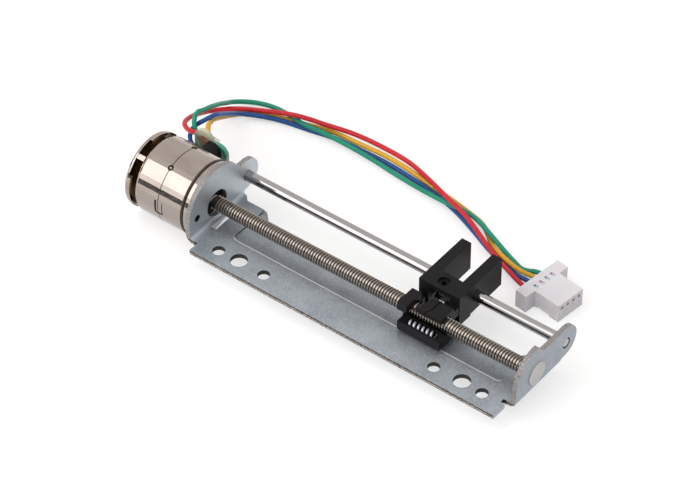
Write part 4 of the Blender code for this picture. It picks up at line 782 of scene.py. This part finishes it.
def make_threaded_screw(material):
    """The lead screw with its real thread, a right-hand helix between two journals."""
    bm = bmesh.new()
    join_rows(bm, thread_rows(bm))
    bmesh.ops.remove_doubles(bm, verts=bm.verts, dist=MERGE_DISTANCE)
    bmesh.ops.dissolve_degenerate(bm, edges=bm.edges, dist=MERGE_DISTANCE)
    loose = [v for v in bm.verts if not v.link_faces]
    bmesh.ops.delete(bm, geom=loose, context="VERTS")
    boundary = [e for e in bm.edges if e.is_boundary]
    bmesh.ops.holes_fill(bm, edges=boundary)
    add_journal(bm, JOURNAL_BACK, THREAD_START + JOURNAL_OVERLAP)
    add_journal(bm, THREAD_STOP - JOURNAL_OVERLAP, JOURNAL_FRONT)
    bmesh.ops.recalc_face_normals(bm, faces=bm.faces)
    bmesh.ops.translate(bm, verts=bm.verts, vec=SHIFT)
    screw = mesh_object("screw_thread", bm, material, 30)
    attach(screw, "rotor")
    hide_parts("lead_screw")


def make_tray_spring(material):
    """Smooth coil spring in the slider's tray."""
    curve = bpy.data.curves.new("tray_spring", "CURVE")
    curve.dimensions = "3D"
    curve.bevel_depth = SPRING_WIRE / 2
    curve.bevel_resolution = 3
    curve.use_fill_caps = True
    count = SPRING_TURNS * COIL_STEPS
    line = curve.splines.new("POLY")
    line.points.add(count)
    for i, knot in enumerate(line.points):
        share = i / count
        angle = 2 * math.pi * SPRING_TURNS * share
        x = SPRING_START + SPRING_LENGTH * share
        y = SPRING_Y + SPRING_RADIUS * math.cos(angle)
        knot.co = (x, y, SPRING_Z + SPRING_RADIUS * math.sin(angle), 1.0)
    curve.materials.append(material)
    coil = collection_add(bpy.data.objects.new("tray_spring", curve))
    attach(coil, "slider")
    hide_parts("preload_spring")


def make_slider_web(material):
    """Wall between the slider's two sides, in front of the rod."""
    left = SLIDER_START + ARM_THICKNESS - WEB_OVERLAP
    right = SLIDER_START + SLIDER_WIDTH - ARM_THICKNESS + WEB_OVERLAP
    low = Vector((left, WEB_Y, AXIS_Z - WEB_BELOW)) + SHIFT
    high = Vector((right, WEB_Y + WEB_THICKNESS, AXIS_Z + WEB_ABOVE)) + SHIFT
    web = block("slider_web", (low, high), material)
    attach(web, "slider")


def housing_frame():
    """Matrix from the connector's own (along, across, height) to the part's frame."""
    where = Vector((HOUSING_X, HOUSING_Y, REST_Z)) + SHIFT
    return Matrix.Translation(where) @ Matrix.Rotation(HOUSING_TURN, 4, "Z")


def way_line(way):
    """Where one way of the connector lies across it."""
    return (way - (WAYS - 1) / 2) * WAY_PITCH


def make_latches(material):
    """Sloped latch tongues in the windows of the plug."""
    for way in range(WAYS):
        corners = []
        for at_top in (False, True):
            for side in (-LATCH_HALF_WIDTH, LATCH_HALF_WIDTH):
                for along, crest in ((LATCH_START, LATCH_LOW), (LATCH_STOP, LATCH_HIGH)):
                    height = crest if at_top else LATCH_FOOT
                    corners.append((along, way_line(way) + side, height))
        tongue = block(f"latch_tongue_{way + 1}", corners, material, housing_frame(), LATCH_ROUNDING)
        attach(tongue, "frame")


def pin_places():
    """Centres of the terminal pins (x, z), in metres in the motor's own terms."""
    places = []
    for number in range(WAYS):
        side = -1 if number % 2 == 0 else 1
        rise = ((WAYS - 1) / 2 - number) * PIN_SPACING_Z
        places.append((TERMINAL_X + side * PIN_SPACING_X / 2, AXIS_Z + rise))
    return places


def make_solder(material):
    """Uneven solder joint over each pin and wire end, at the back of the board."""
    for number, (x, z) in enumerate(pin_places()):
        bm = bmesh.new()
        bmesh.ops.create_icosphere(bm, subdivisions=3, radius=1.0)
        for vertex in bm.verts:
            wave = SOLDER_WAVE * math.sin(4 * vertex.co.x + number) * math.cos(3 * vertex.co.z)
            vertex.co *= 1 + wave
        bmesh.ops.scale(bm, verts=bm.verts, vec=SOLDER_SIZE)
        middle = Vector((x + SOLDER_OFFSET_X, BOARD_BACK + SOLDER_STAND, z)) + SHIFT
        bmesh.ops.translate(bm, verts=bm.verts, vec=middle)
        joint = mesh_object(f"solder_joint_{number + 1}", bm, material, 60)
        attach(joint, "frame")


def between_points(a, b, c, d, t):
    """Point on a Catmull-Rom curve between b and c, with their neighbours a and d."""
    first = (c - a) * t
    second = (2 * a - 5 * b + 4 * c - d) * t**2
    third = (3 * b - a - 3 * c + d) * t**3
    return 0.5 * (2 * b + first + second + third)


def smooth_path(points, count):
    """Evenly spaced points on a smooth curve through the given points."""
    padded = [points[0] * 2 - points[1]] + points + [points[-1] * 2 - points[-2]]
    fine = []
    for a, b, c, d in zip(padded, padded[1:], padded[2:], padded[3:]):
        for i in range(CURVE_STEPS):
            fine.append(between_points(a, b, c, d, i / CURVE_STEPS))
    fine.append(points[-1])
    travelled = [0.0]
    for a, b in zip(fine, fine[1:]):
        travelled.append(travelled[-1] + (b - a).length)
    result = []
    k = 0
    for i in range(count):
        want = travelled[-1] * i / (count - 1)
        while k < len(fine) - 2 and travelled[k + 1] < want:
            k += 1
        share = (want - travelled[k]) / max(travelled[k + 1] - travelled[k], 1e-9)
        result.append(fine[k].lerp(fine[k + 1], min(max(share, 0.0), 1.0)))
    return result


def wire_points(route, pin, way):
    """Evenly spaced points of one wire, from its pin to its contact in the connector."""
    back = BOARD_BACK + PIN_STAND + SEAT + WIRE_DIAMETER / 2
    x, z = pin_places()[pin]
    points = [Vector((x + WIRE_OVERLAP, back, z)) + SHIFT, Vector((x - WIRE_OVERLAP, back, z)) + SHIFT]
    for stop in route:
        points.append(Vector((stop[0] * MM, stop[1] * MM, REST_Z + stop[2] * MM)) + SHIFT)
    for along in (-WIRE_LEAD, 0.0, WIRE_END):
        points.append(housing_frame() @ Vector((along, way_line(way), HOUSING_HEIGHT / 2)))
    return smooth_path(points, WIRE_SAMPLES)


def wire_curve(name, points, material):
    """A round curve object along the given points."""
    curve = bpy.data.curves.new(name, "CURVE")
    curve.dimensions = "3D"
    curve.bevel_depth = WIRE_DIAMETER / 2
    curve.bevel_resolution = 2
    curve.use_fill_caps = True
    curve.resolution_u = 3
    line = curve.splines.new("BEZIER")
    line.bezier_points.add(len(points) - 1)
    for knot, point in zip(line.bezier_points, points):
        knot.co = point
        knot.handle_left_type = "AUTO"
        knot.handle_right_type = "AUTO"
    curve.materials.append(material)
    return collection_add(bpy.data.objects.new(name, curve))


def make_wires(materials):
    """The four wires: colour, route, pin on the board and way in the connector."""
    routes = [
        ("red", RED_ROUTE, 0, 0),
        ("yellow", YELLOW_ROUTE, 1, 2),
        ("blue", BLUE_ROUTE, 2, 1),
        ("green", GREEN_ROUTE, 3, 3),
    ]
    for colour, route, pin, way in routes:
        points = wire_points(route, pin, way)
        wire = wire_curve("cord_" + colour, points, materials[colour])
        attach(wire, "frame")
        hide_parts("wire_" + colour)


def make_camera():
    """Camera at the photograph's place."""
    data = bpy.data.cameras.new("camera")
    data.lens = LENS
    data.sensor_width = SENSOR
    data.clip_start = CLIP_START
    data.clip_end = CLIP_END
    camera = collection_add(bpy.data.objects.new("camera", data))
    right = CAMERA_RIGHT.normalized()
    back = CAMERA_BACK.normalized()
    up = back.cross(right)
    turn = Matrix((right, up, back)).transposed().to_4x4()
    camera.matrix_world = Matrix.Translation(EYE) @ turn
    bpy.context.scene.camera = camera


def make_floor():
    """White floor. Half of its white is its own, so that the object's shadow on it stays pale."""
    bm = bmesh.new()
    bmesh.ops.create_grid(bm, x_segments=1, y_segments=1, size=FLOOR_SIZE)
    bmesh.ops.translate(bm, verts=bm.verts, vec=(0, 0, REST_Z - FLOOR_DROP))
    made = Nodes("floor")
    made.set(Base_Color=grey(FLOOR_COLOUR), Roughness=0.9, Specular_IOR_Level=0.0, Emission_Color=grey(1.0))
    path = made.add("ShaderNodeLightPath").outputs
    seen = made.largest(path["Is Camera Ray"], path["Is Glossy Ray"], path["Is Transmission Ray"])
    made.link(made.product(seen, FLOOR_GLOW), made.shader.inputs["Emission Strength"])
    mesh_object("floor", bm, made.material)


def make_world():
    """Pale surroundings, dark low down in front, as in a studio behind the photographer."""
    world = bpy.data.worlds.new("world")
    bpy.context.scene.world = world
    world.use_nodes = True
    tree = world.node_tree
    background = tree.nodes["Background"]
    coordinates = tree.nodes.new("ShaderNodeTexCoord")
    parts = tree.nodes.new("ShaderNodeSeparateXYZ")
    tree.links.new(coordinates.outputs["Generated"], parts.inputs["Vector"])
    height = tree.nodes.new("ShaderNodeMath")
    height.operation = "MULTIPLY_ADD"
    height.inputs[1].default_value = WORLD_TILT
    tree.links.new(parts.outputs["Y"], height.inputs[0])
    tree.links.new(parts.outputs["Z"], height.inputs[2])
    ramp = tree.nodes.new("ShaderNodeValToRGB")
    dark, pale = ramp.color_ramp.elements
    dark.position = 0.0
    dark.color = grey(WORLD_DARK)
    pale.position = WORLD_FADE
    pale.color = (WORLD_PALE * (1 + WORLD_WARMTH), WORLD_PALE, WORLD_PALE * (1 - WORLD_WARMTH), 1.0)
    tree.links.new(height.outputs[0], ramp.inputs["Fac"])
    tree.links.new(ramp.outputs["Color"], background.inputs["Color"])
    background.inputs["Strength"].default_value = 1.0


def area_light(name, towards, size, power):
    """A soft box in a direction from the object, facing it; its height runs up and down."""
    data = bpy.data.lights.new(name, "AREA")
    data.shape = "RECTANGLE"
    data.size, data.size_y = size
    data.energy = power
    light = collection_add(bpy.data.objects.new(name, data))
    direction = Vector(towards).normalized()
    light.location = direction * LAMP_DISTANCE
    light.rotation_euler = direction.to_track_quat("Z", "Y").to_euler()
    return light


def make_lights():
    """The photograph's long soft box, and a fill from low in front that metals don't reflect."""
    area_light("soft_box", SOFT_BOX_TOWARDS, SOFT_BOX_SIZE, SOFT_BOX_POWER)
    fill = area_light("fill", FILL_TOWARDS, FILL_SIZE, FILL_POWER)
    fill.visible_glossy = False


def main():
    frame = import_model()
    nodes = frame["nodes"]
    materials = make_materials()
    make_camera()
    finish_nodes(nodes, materials)
    make_wires(materials)
    make_threaded_screw(materials["screw"])
    make_tray_spring(materials["spring"])
    make_slider_web(materials["black"])
    make_latches(materials["connector"])
    make_solder(materials["solder"])
    make_floor()
    make_world()
    make_lights()
    bpy.context.scene.view_settings.view_transform = "Standard"


main()
